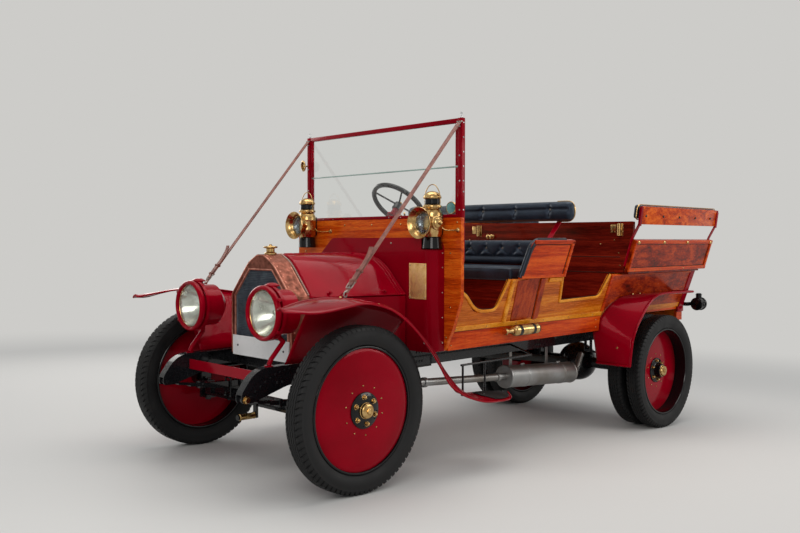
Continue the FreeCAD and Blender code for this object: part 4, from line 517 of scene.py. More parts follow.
# Tyre valves: a brass stem with a knurled cap that comes through each rim.
# The twin rear tyres have one each, bent towards the side that a pump can reach.
for side, outward in car_sides:
    for end, rubber_node, alongs, angle in (
            ("_front_wheel", "_front_tyre", ((-0.012, -1),), 2.9),
            ("_rear_wheel", "_rear_tyres", ((0.060, 1), (-0.060, -1)), -0.95)):
        low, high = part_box(side + rubber_node)
        centre = (low + high) / 2
        stems = bmesh.new()
        for along, way in alongs:
            foot = around(centre, outward, 0.302, along, 1, angle)[0]
            inward = (Vector((centre.x, foot.y, centre.z)) - foot).normalized()
            tip = inward + Vector((0, outward * way * 0.25, 0))
            turned(stems, mm((7.5, 0), (7.5, 4), (4, 6), (4, 26), (5.5, 27), (5.5, 38), (4.2, 41),
                             (0, 41)), foot, tip, 14)
        make_piece(side + end + "_valves", stems, brass, side + end, raked=False)

# Pneumatic beaded-edge tyres, moulded in black rubber with a ribbed and notched tread.
# The rubber is matt, browned and dusty on the walls, and dark where the mould was smooth.
rubber, tree, shader, place = new_finish("vulcanised_black_rubber")
bloom = add_node(tree, "TexNoise", {"Vector": place, "Scale": 9.0, "Detail": 7.0, "Roughness": 0.6})
colour = add_node(tree, "ValToRGB", {"Fac": bloom}, stops=((0.3, "#0C0C0D"), (0.56, "#131314"),
                                                           (0.8, "#1F1D1B")))
grit = add_node(tree, "TexNoise", {"Vector": place, "Scale": 300.0, "Detail": 5.0})
matt = add_node(tree, "MapRange", {"Value": bloom, "From Min": 0.3, "From Max": 0.75,
                                   "To Min": 0.48, "To Max": 0.78})
edge = add_node(tree, "Bevel", {"Radius": 0.0012}, samples=4)
skin = add_node(tree, "Bump", {"Height": grit, "Strength": 0.15, "Distance": 0.0006,
                               "Normal": edge})
feed(tree, shader, {"Base Color": colour, "Roughness": matt, "Normal": skin,
                    "Specular IOR Level": 0.28})

# half section of the tyre in millimetres across and out, from bead to crown
wall = [(34.5, 312.6), (41, 316), (44.5, 320), (45.5, 324), (47.5, 327), (52, 338), (54.4, 350),
        (55, 360), (54.3, 374), (53.0, 384), (53.4, 386), (52.4, 388), (50.4, 396), (47.2, 402.5)]
# tread columns: across, how deep below the crown, how far they follow the zigzag
tread = [(43.0, 2.4, 0), (38.5, 0.9, 0), (30.0, 0.6, 0.4), (26.8, 0.5, 1), (26.4, 7.0, 1),
         (23.0, 7.0, 1), (22.6, 0.4, 1), (16.0, 0.2, 1), (10.0, 0.1, 1), (9.6, 7.0, 1),
         (6.4, 7.0, 1), (6.0, 0.0, 1), (0.0, 0.0, 1)]
crown = 410
columns = [(-y, r, 0) for y, r in wall] + [(-y, crown - deep, zig) for y, deep, zig in tread]
columns += [(-y, r, zig) for y, r, zig in reversed(columns[:-1])]
# the pattern repeats 80 times round the wheel, and is drawn in six steps each time
pitches = 80
steps = (0.0, 0.03, 0.25, 0.28, 0.5, 0.75)
zigzag, notch_depth, notch_in, notch_out, notch_foot = 2.6, 8.0, 27, 52, 390
shoulder_skew = 0.0016


def tyre(centre, outward):
    """Corner points of one tyre, row by row round the wheel."""
    points = []
    for k in range(pitches):
        for step, share in enumerate(steps):
            swing = abs(((share + 0.25) % 1) * 2 - 1) * 2 - 1
            for y, r, zig in columns:
                notch = step in (1, 2) and notch_in < abs(y) < notch_out and r > notch_foot
                across = y + zigzag * zig * swing
                skew = max(min(abs(y), notch_out) - notch_in, 0) * shoulder_skew
                angle = 2 * pi * (k + share) / pitches + skew
                radius = (r - notch_depth * notch) / 1000
                points.append((centre.x + radius * cos(angle),
                               centre.y + outward * across / 1000, centre.z + radius * sin(angle)))
    return points


def tyre_piece(name, centres, outward, body):
    """The tyres on one wheel as one piece of rubber."""
    rows, wide = pitches * len(steps), len(columns)
    points, faces = [], []
    for centre in centres:
        first = len(points)
        points += tyre(centre, outward)
        faces += [(first + i * wide + j, first + i * wide + j + 1,
                   first + (i + 1) % rows * wide + j + 1, first + (i + 1) % rows * wide + j)
                  for i in range(rows) for j in range(wide - 1)]
    shape = bmesh.new()
    mesh = bpy.data.meshes.new("tyre")
    mesh.from_pydata(points, [], faces)
    shape.from_mesh(mesh)
    bpy.data.meshes.remove(mesh)
    return make_piece(name, shape, rubber, body, raked=False, crease=30)


twin_offset = 0.075
for side, outward in car_sides:
    low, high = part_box(side + "_front_tyre")
    single = tyre_piece(side + "_front_rubber", [(low + high) / 2], outward, side + "_front_wheel")
    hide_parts(side + "_front_tyre")
    low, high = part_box(side + "_rear_tyres")
    centre = (low + high) / 2
    pair = [centre + Vector((0, s * twin_offset, 0)) for s in (-1, 1)]
    twins = tyre_piece(side + "_rear_rubber", pair, outward, side + "_rear_wheel")
    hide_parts(side + "_rear_tyres")

# ---- steering --------------------------------------------------------------------------
# A worm-and-sector column in crimson enamel carries a wheel with a black-lacquered rim.
# A brass nut holds the wheel's hub, and a brass quadrant with two levers sits above it.
give(crimson, "steering_column", "front_apron")
give(rim_black, "steering_wheel")
wheel_low, wheel_high = body_box("steering_wheel")
hub = (wheel_low + wheel_high) / 2
column_rise = radians(47)
column = Vector((-cos(column_rise), 0, sin(column_rise)))
over = column.cross(Vector((0, 1, 0)))
fittings = bmesh.new()
turned(fittings, mm((20, 10), (20, 20), (16, 24), (0, 24)), hub, column, 6)
make_piece("steering_wheel_nut", fittings, brass, "steering_wheel")


def on_quadrant(sink, radius, degrees):
    """A place above the wheel: how far below its hub, how far out, and at what angle."""
    turn = radians(degrees)
    return hub - column * sink + over * radius * cos(turn) + Vector((0, radius * sin(turn), 0))


quadrant = bmesh.new()
rod(quadrant, [on_quadrant(0.050, 0.075, 20 * k - 70) for k in range(8)], 0.006, 8)
for degrees in (-40, 25):
    tip = on_quadrant(0.046, 0.115, degrees)
    rod(quadrant, [hub - column * 0.050, tip], 0.004, 8)
    turned(quadrant, mm((0, -9), (7, -6), (9, 0), (7, 6), (0, 9)), tip, column, 14)
make_piece("hand_levers", quadrant, brass)

# The starting handle is a black shaft and crank with a loose brass sleeve for the hand.
# The sleeve is turned from tube, with a rolled rim at each end.
give(rim_black, "starting_handle")
grip_z = body_box("starting_handle")[0].z + 0.015
sleeve = bmesh.new()
turned(sleeve, mm((15.5, 0), (18.5, 2), (18.5, 6), (16.8, 9), (16.8, 88), (18.5, 91), (18.5, 95),
                  (15, 98), (0, 98)), (0.110, 0, grip_z), (1, 0, 0), 32)
make_piece("crank_grip", sleeve, brass, "starting_handle")

# ---- radiator --------------------------------------------------------------------------
# A copper shell folded and soldered round a honeycomb core, with a beaded front edge.
# Bare polished copper: rosy where rubbed, browner in the folds, with long soft scratches.
copper = polished_brass("polished_copper_sheet", "#8E5546", "#6A4134", 0.38)
give(copper, "radiator_shell")


def bent(corners, steps=6):
    """A line through corners, each (x, y, z, radius), with the corners rounded off."""
    spots = [Vector(c[:3]) for c in corners]
    path = [spots[0]]
    for k in range(1, len(spots) - 1):
        back, on = spots[k - 1] - spots[k], spots[k + 1] - spots[k]
        cut = min(corners[k][3], back.length * 0.49, on.length * 0.49)
        first, last = spots[k] + back.normalized() * cut, spots[k] + on.normalized() * cut
        path += [first.lerp(spots[k], t / steps).lerp(spots[k].lerp(last, t / steps), t / steps)
                 for t in range(steps + 1)]
    return path + [spots[-1]]


def across_car(path):
    """The same line mirrored across the car's middle."""
    return [Vector((p.x, -p.y, p.z)) for p in path]


def paced(path, pace):
    """Points along a line at even paces."""
    spots, gone = [], 0.0
    for a, b in zip(path, path[1:]):
        span = (b - a).length
        while gone < span:
            spots.append(a.lerp(b, gone / span))
            gone += pace
        gone -= span
    return spots


shell_low, shell_high = body_box("radiator_shell")
half, top, foot, nose = shell_high.y, shell_high.z, shell_low.z, shell_high.x
shoulder_z, rivets_from = 0.930, 0.66
edge_line = bent([(nose, half - 0.004, foot + 0.004, 0), (nose, half - 0.004, shoulder_z, 0.016),
                  (nose, 0.110, top - 0.046, 0.05), (nose, 0.028, top - 0.005, 0.03),
                  (nose, 0.0, top - 0.005, 0)])
inner_line = bent([(nose, 0.0, foot + 0.032, 0), (nose, 0.243, foot + 0.032, 0.004),
                   (nose, 0.243, 0.924, 0.004), (nose, 0.105, 1.073, 0.004), (nose, 0.0, 1.073, 0)])
back_line = [Vector((shell_low.x + 0.012, p.y, p.z)) for p in edge_line]
beads = bmesh.new()
for line, thick in ((edge_line, 0.0048), (inner_line, 0.0062), (back_line, 0.0042)):
    for side in (line, across_car(line)):
        rod(beads, [p + Vector((0.0024 - thick, 0, 0)) for p in side], thick, 8)
for spot in [p for p in paced(edge_line, 0.036) if p.z >= rivets_from]:
    for sign in (1, -1):
        outward = Vector((0, sign * 0.9, 0.3) if spot.z < shoulder_z else (0, sign * 0.72, 0.69))
        place = Vector((nose - 0.019, sign * spot.y, spot.z)) + outward * 0.0035
        rivets(beads, [place], outward, 0.0038, 8)
# the beads and rivets take a lighter copper than the shell: partly rubbed bright, partly a painted
# highlight
rubbed = polished_brass("rubbed_copper_beads_painted_highlight", "#CF917C", "#A4695A", 0.3)
make_piece("radiator_beads", beads, rubbed)

# The bonnet's front edge rests on a lacing of cord, sewn round the shell's back edge; its pale pink
# colour is a painted highlight.
# Real stitches are 6 to 8 mm apart, drawn 12.5 mm apart so that they show.
lacing = bmesh.new()
lacing_x = body_box("bonnet_left")[1].x + 0.006
for spot in [p for p in paced(back_line, 0.0125) if p.z >= shoulder_z]:
    for sign in (1, -1):
        rivets(lacing, [(lacing_x, sign * (spot.y + 0.005), spot.z + 0.006)],
               (0, sign * 0.72, 0.69), 0.0045, 6)
# the cord's pale pink is a painted highlight along the bonnet's edge
pale_highlit_cord = coach_enamel("cord_with_painted_pale_highlight", "#A8867C", "#CDB2A6", 0.6, 0.0, 0.0006)
make_piece("bonnet_lacing", lacing, pale_highlit_cord)

# The filler cap is turned from cast brass, with a milled rim and a small knob.
# It screws on to a neck that is soldered into the shell's top.
cap_top, grips = body_box("filler_cap")[1].z, 24
shape = bmesh.new()
turned(shape, mm((0, -0.5), (34, -0.5), (34, 6), (29, 10), (22.5, 14), (22.5, 30), (25, 32),
                 (36, 34), (38, 36), (38, 41), (36, 43), (14, 45), (10, 48), (7.5, 50),
                 (8.5, 52.5), (6, 54), (0, 54)), (0, 0, cap_top - 0.054), (0, 0, 1), 48)
for k in range(grips):
    way = Vector((cos(2 * pi * k / grips), sin(2 * pi * k / grips), 0))
    rivets(shape, [way * 0.0375 + Vector((0, 0, cap_top - 0.0155))], way, 0.0022, 6)
cap = make_piece("screwed_filler_cap", shape, brass)
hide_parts("filler_cap")

# The honeycomb core: short hexagonal tubes, dipped in solder and painted slate grey.
# Real cells are 6 to 8 mm wide, drawn here 11 mm wide so that they show.
core_paint, tree, shader, place = new_finish("slate_grey_core_paint")
dust = add_node(tree, "TexNoise", {"Vector": place, "Scale": 22.0, "Detail": 6.0})
colour = add_node(tree, "ValToRGB", {"Fac": dust}, stops=((0.32, "#444C56"), (0.7, "#657079")))
feed(tree, shader, {"Base Color": colour, "Metallic": 0.4, "Roughness": 0.42})
core_back = coach_enamel("core_shadow_black", "#07080A", "#101317", 0.5, 0.0)
give(core_back, "radiator_core")
core_low, core_high = body_box("radiator_core")
pitch, core_half, core_shoulder, core_slope = 0.011, 0.2405, 0.922, 0.138 / 0.149
# each tube flares to a solder lip at its mouth: (radius, distance in front of the core)
mouth = ((0.0063, 0.011), (0.0051, 0.0115), (0.0047, 0.0005))
cells = bmesh.new()
row = 0
z = core_low.z + pitch * 0.6
while z < core_high.z - pitch * 0.4:
    reach = core_half - max(0.0, z - core_shoulder) * core_slope
    shift = 0.5 * (row % 2)
    y = (round((-reach + pitch * (0.55 + shift)) / pitch) + shift) * pitch
    while y < reach - pitch * 0.5:
        if y > -reach + pitch * 0.5:
            sew(cells, [[cells.verts.new((core_high.x + x, y + radius * sin(pi * k / 3),
                                          z + radius * cos(pi * k / 3))) for k in range(6)]
                        for radius, x in mouth])
        y += pitch
    z += pitch * 0.866
    row += 1
for side in (inner_line, across_car(inner_line)):
    rod(cells, [Vector((core_high.x + 0.007, p.y * 0.985, p.z)) for p in side], 0.0075, 8)
make_piece("honeycomb", cells, core_paint, crease=20)

# ---- number plate ----------------------------------------------------------------------
# A blank white plate of pressed aluminium, 520 x 110 mm, held by two black screws.
# Stove enamel with a raised rim and a few dull road marks.
plate_white = coach_enamel("white_stove_enamel", "#E2E3E2", "#F0F0EE", 0.3, 0.4, soften=0.001)
give(plate_white, "number_plate")
plate_low, plate_high = body_box("number_plate")
x = plate_high.x
rim = bmesh.new()
ring = bent([(x, 0, plate_low.z + 0.006, 0), (x, plate_high.y - 0.006, plate_low.z + 0.006, 0.01),
             (x, plate_high.y - 0.006, plate_high.z - 0.006, 0.01),
             (x, 0, plate_high.z - 0.006, 0)])
for side in (ring, across_car(ring)):
    rod(rim, side, 0.0022, 6)
make_piece("plate_rim", rim, plate_white)
screws = bmesh.new()
rivets(screws, [(x, y, (plate_low.z + plate_high.z) / 2) for y in (-0.21, 0.21)], (1, 0, 0), 0.006)
make_piece("plate_screws", screws, rim_black)

# ---- headlamps -------------------------------------------------------------------------
# Spun steel drums in crimson enamel with a rolled front rim, on forged bent brackets.
# Inside each is a silvered copper reflector behind a plain domed glass.
give(crimson, "headlamps")
silver, tree, shader, place = new_finish("silvered_reflector")
cloud = add_node(tree, "TexNoise", {"Vector": place, "Scale": 16.0, "Detail": 5.0})
colour = add_node(tree, "ValToRGB", {"Fac": cloud}, stops=((0.3, "#B9B7AC"), (0.65, "#E9E8E2")))
haze = add_node(tree, "MapRange", {"Value": cloud, "To Min": 0.34, "To Max": 0.12})
feed(tree, shader, {"Base Color": colour, "Metallic": 1.0, "Roughness": haze})
lamp_glass, tree, shader, place = new_finish("clear_lamp_glass")
# drawn sheet glass: a slow ripple of 20 to 40 mm and fine dust
ripple = add_node(tree, "TexNoise", {"Vector": place, "Scale": 32.0, "Detail": 2.0})
skin = add_node(tree, "Bump", {"Height": ripple, "Strength": 0.02, "Distance": 0.002})
dust = add_node(tree, "MapRange", {"Value": ripple, "To Min": 0.0, "To Max": 0.05})
feed(tree, shader, {"Base Color": linear("#F4F8F5"), "Roughness": dust, "Transmission Weight": 1.0,
                    "IOR": 1.45, "Normal": skin})
lamps_high = body_box("headlamps")[1]
drum_radius = 0.137
for side, sign in car_sides:
    rim_centre = Vector((lamps_high.x, sign * (lamps_high.y - drum_radius), 0.871))
    shape = bmesh.new()
    turned(shape, mm((114, -12), (115, -4), (119, 4), (125, 7.5), (132, 5), (137, -2),
                     (138.5, -12), (137, -20), (132, -25), (120, -26)), rim_centre, (1, 0, 0), 96)
    turned(shape, mm((118, -30), (120.5, -32), (120.5, -36), (118, -38)), rim_centre, (1, 0, 0),
           96)
    turned(shape, mm((0, -175), (30, -174.5), (56, -170), (66, -164), (70, -160)), rim_centre,
           (1, 0, 0), 64)
    tall = rim_centre + Vector((-0.062, 0, 0.112))
    turned(shape, mm((34, -4), (34, 6), (30, 10), (26, 10), (26, 18), (38, 20), (38, 26), (20, 36),
                     (0, 38)), tall, (0, 0, 1), 36)
    rivets(shape, [rim_centre + Vector((-0.050, y, 0.1085)) for y in (-0.03, 0.03)], (0, 0, 1),
           0.004)
    for share in (0.5, -0.62):  # where the two thumb screws stand, in radians
        outward = Vector((0, sign * cos(share), sin(share)))
        turned(shape, mm((6, 0), (6, 8), (10.5, 10), (10.5, 13), (0, 16)),
               rim_centre + Vector((-0.012, 0, 0)) + outward * 0.1375, outward, 16)
    make_piece(side + "_headlamp_rim", shape, crimson)
    shape = bmesh.new()
    dish = [(0.1160, -0.0125), (0.1140, -0.0170), (0.1130, -0.0200)]
    shares = (0.98, 0.9, 0.8, 0.68, 0.55, 0.4, 0.25, 0.12)
    dish += [(0.1120 * t, -0.1300 + 0.1080 * t * t) for t in shares]
    turned(shape, dish + [(0.0, -0.1300)], rim_centre, (1, 0, 0), 96)
    make_piece(side + "_reflector", shape, silver)
    shape = bmesh.new()
    turned(shape, mm((12, -128), (12, -100), (9, -98)), rim_centre, (1, 0, 0), 24)
    turned(shape, mm((116.5, -12), (114.5, -9), (112.5, -12)), rim_centre, (1, 0, 0), 96)
    make_piece(side + "_headlamp_brass", shape, brass)
    shape = bmesh.new()
    turned(shape, mm((0, -70), (11, -74), (16, -84), (12, -97)), rim_centre, (1, 0, 0), 24)
    bulge = [(0.1140 * t, -0.0110 + 0.0100 * (1 - t * t)) for t in (1, 0.9, 0.75, 0.55, 0.3)]
    turned(shape, bulge + [(0.0, -0.0010), (0.0, -0.0040)]
           + [(r, x - 0.003) for r, x in reversed(bulge)] + bulge[:1], rim_centre, (1, 0, 0), 96)
    make_piece(side + "_headlamp_glass", shape, lamp_glass)

# ---- bonnet ----------------------------------------------------------------------------
# Two wheeled steel leaves hinged along the crown, over fixed sides in the same crimson.
# Each leaf has a doubled bead at both ends and a riveted hem; small painted catches hold it.
give(crimson, "bonnet_sides")
leaf_low, leaf_high = body_box("bonnet_left")
crown_z, hem_z = body_box("radiator_shell")[1].z - 0.002, 0.925


def bonnet_line(x, lift=0.0):
    """A leaf's rounded section at a place along the bonnet, from the hinge to the hem."""
    share = (leaf_high.x - x) / (leaf_high.x - leaf_low.x)
    half, crown = 0.273 + share * 0.131, 0.040 + share * 0.090
    hip = Vector((x, crown + (half - crown) * 0.26, crown_z - 0.008 - 0.012 * share))
    flat, hem = Vector((x, 0.008, crown_z)), Vector((x, half, hem_z))
    first, last = hip.lerp(flat, 0.62), hip.lerp(hem, 0.42)
    line = [flat.lerp(first, k / 3) for k in range(3)]
    line += [first.lerp(hip, t).lerp(hip.lerp(last, t), t) for t in [k / 14 for k in range(15)]]
    line += [last.lerp(hem, k / 5) for k in range(1, 6)]
    if lift:
        ways = [(b - a).normalized() for a, b in zip(line, line[1:] + [2 * line[-1] - line[-2]])]
        line = [p + Vector((0, -w.z, w.y)) * lift for p, w in zip(line, ways)]
    return line


def as_drawn(path):
    """The same line where it is: the left side's counterpart of a mirrored one."""
    return [Vector(p) for p in path]


drawn_sides = (("left", 1, as_drawn), ("right", -1, across_car))
leaf_thick, leaf_gap, leaf_steps = 0.0025, 0.0005, 24
for side, sign, mirror in drawn_sides:
    outward = (0, sign * 0.87, 0.49)
    shape = bmesh.new()
    leaf_run = leaf_high.x - leaf_low.x - 2 * leaf_gap
    stations = [leaf_high.x - leaf_gap - leaf_run * k / leaf_steps for k in range(leaf_steps + 1)]
    sew(shape, [[shape.verts.new(p) for p in mirror(bonnet_line(x))
                 + mirror(bonnet_line(x, -leaf_thick))[::-1]] for x in stations], capped=True)
    leaf = make_piece("bonnet_" + side + "_leaf", shape, crimson, "bonnet_" + side)
    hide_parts("bonnet_" + side)
    shape = bmesh.new()
    for x in (leaf_low.x + 0.007, leaf_low.x + 0.026, leaf_low.x + 0.045, leaf_high.x - 0.010):
        rod(shape, mirror(bonnet_line(x)), 0.0055, 8)
    hem = [bonnet_line(x)[-1] for x in (leaf_high.x - 0.002, leaf_low.x + 0.002)]
    rod(shape, mirror([p + Vector((0, -0.002, 0.003)) for p in hem]), 0.0040, 8)
    for k in range(19):
        line = bonnet_line(leaf_high.x - 0.03 - k * 0.029)
        rivets(shape, mirror([line[-1].lerp(line[-2], 0.3)]), outward, 0.0034)
    # the hinge's knuckles belong to the left leaf and the right leaf in turn
    for knuckle in range(0 if sign > 0 else 1, 8, 2):
        front = -0.094 - knuckle * 0.066
        rod(shape, [(front, 0, 1.153), (front - 0.056, 0, 1.153)], 0.0068, 12)
    for spot in fair(bonnet_line(leaf_high.x - 0.006), 5)[2::3]:
        rivets(shape, mirror([spot]), (0.2, sign * spot.y, spot.z - 0.95), 0.0042, 8)
    make_piece("bonnet_" + side + "_beads", shape, crimson, "bonnet_" + side)
    shape = bmesh.new()
    for x in (leaf_high.x - 0.12, leaf_low.x + 0.13):
        line = bonnet_line(x)
        spot = mirror([line[-1].lerp(line[-3], 0.4)])[0]
        turned(shape, mm((10, -2), (10, 3), (6, 5), (5, 12), (10, 15), (10, 19), (4, 22), (0, 22)),
               spot, outward, 20)
    make_piece("bonnet_" + side + "_catches", shape, crimson, "bonnet_" + side)

# ---- dash casing -----------------------------------------------------------------------
# A riveted sheet steel casing in crimson in front of the wooden dashboard.
# It carries a blank brass plate with four screws, and cheese-head screws down its edge.
give(crimson, "scuttle")
face = -0.652
shape = bmesh.new()
rivets(shape, [(face, y, z) for y, z in ((0.535, 1.205), (0.535, 0.66), (0.27, 1.215),
                                         (-0.535, 0.66), (-0.535, 1.03))], (1, 0, 0), 0.0055)
rivets(shape, [(-0.735, 0.595, z) for z in (0.66, 0.80, 0.94, 1.08, 1.16)], (0, 1, 0), 0.005)
plate = Vector((face + 0.003, 0.484, 1.003))
rivets(shape, [plate + Vector((0, y, z)) for y in (-0.056, 0.056) for z in (-0.089, 0.089)],
       (1, 0, 0), 0.0038)
nickelled = polished_brass("nickelled_screw", "#C9C2B2", "#8B8478", 0.25)
make_piece("dash_casing_screws", shape, nickelled)
shape = bmesh.new()
half_plate = Vector((0, 0.066, 0.100))
slab(shape, plate - half_plate - Vector((0.004, 0, 0)), plate + half_plate, 0.0015)
outline = bent([(plate.x, plate.y, plate.z - 0.094, 0),
                (plate.x, plate.y + 0.060, plate.z - 0.094, 0.006),
                (plate.x, plate.y + 0.060, plate.z + 0.094, 0.006),
                (plate.x, plate.y, plate.z + 0.094, 0)])
rod(shape, outline, 0.0011, 6)
rod(shape, [Vector((p.x, 2 * plate.y - p.y, p.z)) for p in outline], 0.0011, 6)
lacquered = polished_brass("lacquered_brass_plate", "#F0CF94", "#DDB878", 0.42)
make_piece("blank_brass_plate", shape, lacquered)

# ---- front mudguards -------------------------------------------------------------------
# Wheeled from one steel sheet each, pointed like a leaf in front, in crimson enamel.
# A wire is rolled into the edge all round, and hanger rods carry the tail.
front_rows = [
    (0.440, 0.918, 0.440, 0.893), (0.330, 0.936, 0.330, 0.890), (0.200, 0.946, 0.190, 0.917),
    (0.058, 0.948, 0.058, 0.932), (-0.072, 0.932, -0.072, 0.908), (-0.200, 0.910, -0.173, 0.862),
    (-0.300, 0.885, -0.278, 0.784), (-0.437, 0.819, -0.388, 0.674), (-0.550, 0.726, -0.463, 0.580),
    (-0.663, 0.617, -0.540, 0.477), (-0.735, 0.515, -0.619, 0.425), (-0.805, 0.420, -0.700, 0.388),
    (-0.889, 0.360, -0.868, 0.344), (-1.158, 0.342, -1.158, 0.332)]


def sheet_grid(shape, rows, low_y, high_y, edges, crown=0.0):
    """Adds a ruled sheet; edges(spot) gives where it starts and ends across the car.

    Each row gives x and z at the inner edge low_y, then x and z at the outer edge high_y.
    """
    across = 14
    inner = fair([(r[0], low_y, r[1]) for r in rows], 7)
    outer = fair([(r[2], high_y, r[3]) for r in rows], 7)
    lines = []
    for a, b in zip(inner, outer):
        start, stop = edges(Vector((a.lerp(b, 0.5).x, 0, a.z)))
        line = []
        for k in range(across + 1):
            y = start + (stop - start) * k / across
            spot = a.lerp(b, (y - low_y) / (high_y - low_y))
            arch = crown * (1 - (2 * k / across - 1) ** 2)
            line.append(Vector((spot.x, y, spot.z + arch)))
        lines.append(line)
    sew(shape, [[shape.verts.new(p) for p in line] for line in lines], closed=False)
    return lines


guard_inner, guard_outer = 0.600, 0.832


def leaf_edges(spot):
    """Plan of the front guard: pointed ahead, rounded behind."""
    tip = max(0.0, (spot.x - 0.130) / 0.310) ** 2.2
    tail = 0.095 * min(1, max(0.0, (-1.000 - spot.x) / 0.160)) ** 2.0
    return guard_inner + 0.062 * tip + tail, guard_outer - 0.125 * tip - tail


def sheet_piece(name, shape, sign):
    """Gives a sheet drawn for the left its thickness and finish, and mirrors it if need be."""
    piece = make_piece(name, shape, crimson)
    if sign < 0:
        piece.data.transform(Matrix.Scale(-1, 4, (0, 1, 0)))
        piece.data.flip_normals()
    gauge = piece.modifiers.new("sheet", "SOLIDIFY")
    gauge.thickness = 0.003
    gauge.offset = -1
    return piece


guard_crown, mat_lift, rib_height, ribs = 0.012, 0.0055, 0.0022, 14
for side, sign, mirror in drawn_sides:
    shape = bmesh.new()
    lines = sheet_grid(shape, front_rows, guard_inner, guard_outer, leaf_edges, guard_crown)
    blade = sheet_piece(side + "_front_guard", shape, sign)
    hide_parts("front_guards")
    shape = bmesh.new()
    rim = [line[-1] for line in lines[::-1]] + lines[0][1:-1][::-1] + [line[0] for line in lines]
    rim += lines[-1][1:]
    rod(shape, mirror(rim), 0.0052, 8)
    rod(shape, mirror(bent([(0.035, 0.6300, 0.954, 0), (0.035, 0.6300, 0.970, 0.008),
                            (0.005, 0.6300, 0.970, 0.008), (0.005, 0.6300, 0.954, 0)])), 0.0030, 8)
    make_piece(side + "_front_guard_wire", shape, crimson)
    shape = bmesh.new()
    for x, low in ((-0.889, 0.358), (-1.084, 0.346)):
        rod(shape, mirror([Vector((x, 0.612, low)), Vector((x, 0.612, 0.522))]), 0.0065, 12)
        turned(shape, mm((12, 0), (12, 7), (7, 9), (0, 9)),
               mirror([Vector((x, 0.612, low - 0.012))])[0], (0, 0, 1), 6)
    rod(shape, mirror(bent([(-0.875, 0.612, 0.522, 0), (-1.540, 0.612, 0.522, 0.02),
                            (-1.600, 0.398, 0.560, 0)])), 0.0065, 12)
    make_piece(side + "_step_hangers", shape, chassis_black)
    # an oval ribbed rubber mat, bolted down on the guard's tail, makes it the step
    shape = bmesh.new()
    step = [line for line in lines if line[0].x < -0.915]
    mat = []
    for k, line in enumerate(step):
        reach = 0.06 + 0.37 * (1 - (2 * k / (len(step) - 1) - 1) ** 4) ** 0.5
        spots = []
        for t in range(2 * ribs + 1):
            share = reach * (t / ribs - 1)
            lift = mat_lift + rib_height * (t % 2) + guard_crown * (1 - 4 * share ** 2)
            spots.append(line[0].lerp(line[-1], 0.5 + share) + Vector((0, 0, lift)))
        mat.append([shape.verts.new(p) for p in mirror(spots)])
    sew(shape, mat, closed=False)
    bmesh.ops.recalc_face_normals(shape, faces=shape.faces)
    bmesh.ops.solidify(shape, geom=shape.faces[:], thickness=rib_height)
    make_piece(side + "_step_mat", shape, rubber)
    shape = bmesh.new()
    rivets(shape, mirror([step[len(step) * k // 4][7] + Vector((0, 0, 0.007)) for k in (1, 3)]),
           (0, 0, 1), 0.008)
    make_piece(side + "_step_bolts", shape, chassis_black)
    shape = bmesh.new()
    upper = fair([(r[0], 0.603, r[1] - 0.001) for r in front_rows[2:8]], 6)
    sew(shape, [[shape.verts.new(p.lerp(Vector((p.x, 0.391, 0.614)), k / 8)) for k in range(9)]
                for p in upper], closed=False)
    sheet_piece(side + "_front_valance", shape, sign)
    shape = bmesh.new()
    rivets(shape, mirror([Vector((-0.15, 0.70, 0.912)), Vector((0.10, 0.70, 0.959))]), (0, 0, 1),
           0.006)
    make_piece(side + "_guard_bolts", shape, brass)

# ---- rear mudguards --------------------------------------------------------------------
# Each is a rolled flap before the twin wheels that turns back over them in one curve.
# Same sheet and enamel as in front, bolted to the body through its inner edge.
rear_rows = [
    (-2.360, 0.387, -2.359, 0.387), (-2.330, 0.510, -2.372, 0.470), (-2.304, 0.619, -2.395, 0.560),
    (-2.318, 0.720, -2.435, 0.630), (-2.352, 0.802, -2.485, 0.689), (-2.415, 0.840, -2.591, 0.787),
    (-2.519, 0.850, -2.686, 0.838), (-2.694, 0.848, -2.828, 0.860), (-3.252, 0.852, -3.252, 0.856)]
flap_inner, flap_outer = 0.560, 0.822


def rear_edges(spot):
    """The rear guard starts at the body's side and ends over the outer tyre."""
    if spot.z < 0.608:
        return flap_inner, flap_outer
    return 0.6003 + max(0.0, spot.z - 0.715) * 0.347, flap_outer


for side, sign, mirror in drawn_sides:
    shape = bmesh.new()
    lines = sheet_grid(shape, rear_rows, flap_inner, flap_outer, rear_edges)
    blade = sheet_piece(side + "_rear_guard", shape, sign)
    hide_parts("rear_guards")
    shape = bmesh.new()
    rim = lines[-1] + [line[-1] for line in lines[::-1]] + lines[0][:-1][::-1]
    rod(shape, mirror([p + Vector((0, -0.003, -0.004)) for p in rim]), 0.0085, 8)
    make_piece(side + "_rear_guard_wire", shape, crimson)
    shape = bmesh.new()
    rivets(shape, mirror([Vector((-2.353 - 0.02 * (y - flap_inner), y, 0.500))
                          for y in (0.63, 0.72)]), (1, 0, 0.25), 0.007)
    rivets(shape, mirror([Vector((x, 0.66, 0.852)) for x in (-2.66, -2.76)]), (0, 0, 1), 0.007)
    make_piece(side + "_flap_bolts", shape, brass)

